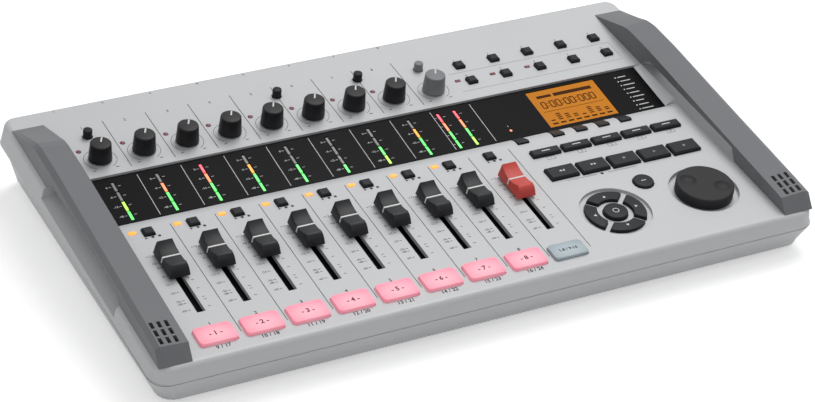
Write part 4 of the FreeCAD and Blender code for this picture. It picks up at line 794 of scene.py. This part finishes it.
def mark_faders():
    """A white line over the saddle of each fader cap."""
    half_width, line = 0.5, 0.06
    lean = 1.6 / 8.6
    low, high = 2.6, CAP_SADDLE[1][1]
    hem = CAP_HALF_WIDTH - (low - CAP_FOOT) * lean
    shoulder = CAP_HALF_WIDTH - (high - CAP_FOOT) * lean
    path = [(-hem, low), (-shoulder, high), (shoulder, high), (hem, low)]
    for column, name in enumerate(FADER_NAMES):
        mesh = bmesh.new()
        rings = []
        for index, (x, z) in enumerate(path):
            side = -1 if index < 2 else 1
            grown = (x + side * line, z + (line if index in (1, 2) else 0))
            sunk = (x - side * line, z - (line if index in (1, 2) else 0))
            rings.append([mesh.verts.new((px, py, pz)) for px, pz in (sunk, grown)
                          for py in (-half_width, half_width)])
        for near, far in zip(rings, rings[1:]):
            for a, b in ((0, 1), (1, 3), (3, 2), (2, 0)):
                mesh.faces.new((near[a], near[b], far[b], far[a]))
        for ring, order in ((rings[0], (0, 2, 3, 1)), (rings[-1], (0, 1, 3, 2))):
            mesh.faces.new([ring[index] for index in order])
        bmesh.ops.recalc_face_normals(mesh, faces=mesh.faces)
        place = on_panel(column_x(column), FADER_REST)
        finished(f"{name}_line", mesh, place, name, "white_ink")


def mark_knobs():
    """A white pointer on the top of each knob."""
    for column, name in enumerate(KNOB_NAMES):
        place = (on_panel(column_x(column) + KNOB_SHIFT, KNOB_ROW)
                 @ Matrix.Rotation(POINTER_TURN, 4, "Z"))
        ink = Print(f"{name}_pointer", place, level=KNOB_TOP)
        ink.bar(0, KNOB_RADIUS / 2 - 0.35, width=0.84, depth=KNOB_RADIUS - 2.3)
        ink.done(name, "white_ink")


def mark_pads():
    """A plain number between dashes on each pad, and figures on the pad bank key."""
    for column in range(FADERS):
        ink = Print(f"pad_{column + 1}_mark", PANEL, level=PAD_TOP)
        ink.number(f"- {column + 1} -", column_x(column) + PAD_SHIFT, PAD_ROW, size=4.1, bold=0.12)
        ink.done(f"pad_{column + 1}", "pad_ink")
    bank = Print("pad_bank_mark", PANEL, level=PAD_TOP)
    bank.number("1-8 / 9-16", *BANK_MIDDLE, size=2.7, bold=0.08)
    bank.done("pad_bank_key", "black_ink")


def mark_keys():
    """Plain transport signs and arrows on the key tops."""
    for number, name in enumerate(("rewind", "forward", "stop", "play", "record")):
        x = TRANSPORT_FIRST[0] + TRANSPORT_STEP[0] * number
        y = TRANSPORT_FIRST[1] + TRANSPORT_STEP[1] * number
        ink = Print(f"{name}_sign", PANEL, level=KEY_TOP)
        if name in ("rewind", "forward"):
            turn = math.pi if name == "rewind" else 0.0
            for shift in (-0.9, 0.9):
                ink.triangle(x + shift, y, 0.95, turn)
        elif name == "stop":
            ink.bar(x, y, width=1.5, depth=1.5)
        elif name == "play":
            ink.triangle(x, y, size=1.1)
        else:
            ink.disc(x, y, radius=0.85)
        ink.done(f"{name}_key", "white_ink" if name in ("rewind", "forward") else "grey_ink")
    arrows = Print("cursor_arrows", PANEL, level=CURSOR_TOP)
    for step in range(4):
        turn = math.radians(90 * step)
        arrows.triangle(CURSOR_MIDDLE[0] + ARROW_RADIUS * math.cos(turn),
                        CURSOR_MIDDLE[1] + ARROW_RADIUS * math.sin(turn), 1.1, turn)
    arrows.done("cursor_keys", "white_ink")
    wide = Print("wide_key_signs", PANEL, level=KEY_TOP)
    for number in range(5):
        x = WIDE_KEY_FIRST + WIDE_KEY_PITCH * number
        wide.bar(x, WIDE_KEY_ROW, width=5.0, depth=0.6)
    wide.done("wide_keys", "white_ink")
    enter = Print("enter_sign", PANEL, level=ENTER_TOP)
    enter.arc(*CURSOR_MIDDLE, radius=1.6, width=0.4, start=0, stop=360, steps=24)
    enter.done("enter_key", "white_ink")
    exit_sign = Print("exit_sign", PANEL, level=EXIT_TOP)
    exit_sign.bar(*EXIT_MIDDLE, width=3.0, depth=0.5)
    exit_sign.done("exit_key", "white_ink")


# Lamps

# One letter for each segment of a meter, from the rear to the front
METERS = ("xxyg", "xogg", "rogg", "xagg", "xxgg", "xxxg", "xxgy", "xagg", "rogg", "rogy")
LAMP_OF = {"x": "lamp_unlit", "y": "lamp_lime", "g": "lamp_green", "r": "lamp_red",
           "o": "lamp_orange", "a": "lamp_amber"}


def lens(mesh, place, x, y, width, depth, top, height, bevel):
    """A small lens with softened edges, in a frame that is placed in the panel's."""
    shape = place @ Matrix.Translation((x, y, top - height / 2)) @ Matrix.Diagonal(
        (width, depth, height, 1))
    made = bmesh.ops.create_cube(mesh, size=1.0, matrix=shape)
    edges = dict.fromkeys(edge for vertex in made["verts"] for edge in vertex.link_edges)
    bmesh.ops.bevel(mesh, geom=list(edges), offset=bevel, segments=2, affect="EDGES", profile=0.6)


def make_lamps():
    """The meters' segments and the lamps of the panel, by colour."""
    groups = {finish: bmesh.new() for finish in FINISH if finish.startswith("lamp_")}
    strip_in_panel = PANEL.inverted() @ STRIP
    for x, colours in zip(meter_columns(), METERS):
        for row, letter in enumerate(colours[::-1]):
            lens(groups[LAMP_OF[letter]], strip_in_panel, x, meter_row(row),
                 width=1.5, depth=6.6, top=-0.3, height=0.7, bevel=0.12)
    level = Matrix.Identity(4)
    crown = ((1.0, -2.5), (1.0, 0.1), (0.8, 0.3), (0.45, 0.4))
    for column in range(FADERS):
        x = column_x(column)
        lens(groups["lamp_amber"], level, x + TRACK_LAMP_SHIFT, TRACK_LAMP_ROW,
             width=3.9, depth=2.2, top=0.5, height=3.0, bevel=0.4)
        lathe(groups["lamp_dark_red"], [(CLIP_LAMP_RADIUS * share, z) for share, z in crown],
              steps=20, x=x + CLIP_LAMP_SHIFT, y=CLIP_LAMP_ROW)
    for number in range(3):
        x = KEY_LAMP_FIRST + KEY_LAMP_PITCH * number
        lens(groups["lamp_dark_red"], level, x, KEY_LAMP_ROW,
             width=3.1, depth=1.7, top=0.45, height=3.0, bevel=0.3)
    pieces = [finished(finish.replace("lamp_", "lamps_"), mesh, PANEL, "case", finish)
              for finish, mesh in groups.items()]
    for piece in pieces:
        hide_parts("indicator_leds")
    spot = Print("strip_lamp", STRIP)
    spot.disc(*STRIP_LAMP, radius=0.75, steps=16)
    spot.done("case", "lamp_orange")


# Rear

def dress_rear():
    """Flanges, contact openings as dark discs of painted shade, rims and latches of the rear
    sockets.
    """
    upright = (Matrix.Translation((0, SOCKET_FACE * MM, 0)) @ Matrix.Rotation(math.pi / 2, 4, "X")
               @ Matrix.Rotation(math.pi, 4, "Y") @ TO_METRES)
    hole_shade = Print("socket_hole_shade", upright)
    rims = Print("socket_rims", upright)
    flanges = Print("socket_flanges", upright, thickness=0.7)
    latches = Print("socket_latches", upright, thickness=0.5)
    for number in range(FADERS):
        x = -(FIRST_INPUT + INPUT_PITCH * number)
        # The contact openings are not cut: a dark disc of painted shade stands for each
        for turn in (90, 210, 330):
            angle = math.radians(turn)
            hole_shade.disc(x + CONTACT_CIRCLE * math.cos(angle),
                       SOCKET_HEIGHT - CONTACT_CIRCLE * math.sin(angle), radius=1.6)
        rims.arc(x, SOCKET_HEIGHT, radius=4.0, width=0.7, start=0, stop=360, steps=36)
        flanges.arc(x, SOCKET_HEIGHT, radius=11.6, width=3.0, start=0, stop=360, steps=48)
        latches.bar(x, SOCKET_HEIGHT + LATCH_RISE, width=5.0, depth=2.6)
    flanges.done("case", "socket")
    hole_shade.done("case", "board")
    rims.done("case", "metal")
    latches.done("case", "metal")


# Scene

def make_floor():
    """A plain pale floor, lifted to white where it is seen directly."""
    bpy.ops.mesh.primitive_plane_add(size=FLOOR_SIZE, location=(0, 0, 0))
    floor = bpy.context.object
    floor.name = "floor"
    pale = moulded("floor", (0.86, 0.86, 0.86), 0.8, 40.0, 10e-6, 0.01, gloss=0.1)
    tree = pale.node_tree
    shader = tree.nodes["Principled BSDF"]
    shader.inputs["Emission Color"].default_value = WHITE
    lift = tree.nodes.new("ShaderNodeMath")
    lift.operation = "MULTIPLY"
    lift.inputs[1].default_value = FLOOR_LIFT
    tree.links.new(seen_directly(tree), lift.inputs[0])
    tree.links.new(lift.outputs["Value"], shader.inputs["Emission Strength"])
    floor.data.materials.append(pale)


def make_light(name, place, size, power):
    """A soft square lamp that looks at the middle of the recorder."""
    data = bpy.data.lights.new(name, "AREA")
    data.size = size
    data.energy = power
    lamp = bpy.data.objects.new(name, data)
    lamp.location = place
    lamp.rotation_euler = (-Vector(place)).to_track_quat("-Z", "Y").to_euler()
    bpy.context.scene.collection.objects.link(lamp)


def seen_directly(tree):
    """1 for rays from the camera and for what they show in gloss and glass, otherwise 0."""
    rays = tree.nodes.new("ShaderNodeLightPath")
    seen = rays.outputs["Is Camera Ray"]
    for name in ("Is Glossy Ray", "Is Transmission Ray"):
        either = tree.nodes.new("ShaderNodeMath")
        either.operation = "MAXIMUM"
        tree.links.new(seen, either.inputs[0])
        tree.links.new(rays.outputs[name], either.inputs[1])
        seen = either.outputs["Value"]
    return seen


def make_world():
    """An even pale sky, white where it is seen directly."""
    world = bpy.data.worlds.new("studio")
    world.use_nodes = True
    tree = world.node_tree
    sky = tree.nodes["Background"]
    sky.inputs["Color"].default_value = WHITE
    sky.inputs["Strength"].default_value = SKY_STRENGTH
    white = tree.nodes.new("ShaderNodeBackground")
    white.inputs["Color"].default_value = WHITE
    white.inputs["Strength"].default_value = 1.0
    mix = tree.nodes.new("ShaderNodeMixShader")
    tree.links.new(seen_directly(tree), mix.inputs["Fac"])
    tree.links.new(sky.outputs["Background"], mix.inputs[1])
    tree.links.new(white.outputs["Background"], mix.inputs[2])
    tree.links.new(mix.outputs["Shader"], tree.nodes["World Output"].inputs["Surface"])
    bpy.context.scene.world = world


def make_camera():
    """The photograph's point of view."""
    data = bpy.data.cameras.new("camera")
    data.sensor_width = CAMERA_SENSOR
    data.lens = CAMERA_LENS
    camera = bpy.data.objects.new("camera", data)
    camera.location = CAMERA_PLACE
    camera.rotation_euler = [math.radians(angle) for angle in CAMERA_ANGLES]
    bpy.context.scene.collection.objects.link(camera)
    bpy.context.scene.camera = camera


bpy.context.scene.view_settings.view_transform = "Standard"
make_camera()
dress_nodes()
print_panel()
print_strip()
print_lcd()
make_knobs()
make_dial()
make_round_keys()
make_cursor_keys()
make_pads()
make_fader_caps()
make_feet()
mark_faders()
mark_knobs()
mark_pads()
mark_keys()
make_lamps()
dress_rear()
make_floor()
make_light("key", *KEY_LIGHT)
make_light("fill", *FILL_LIGHT)
make_world()
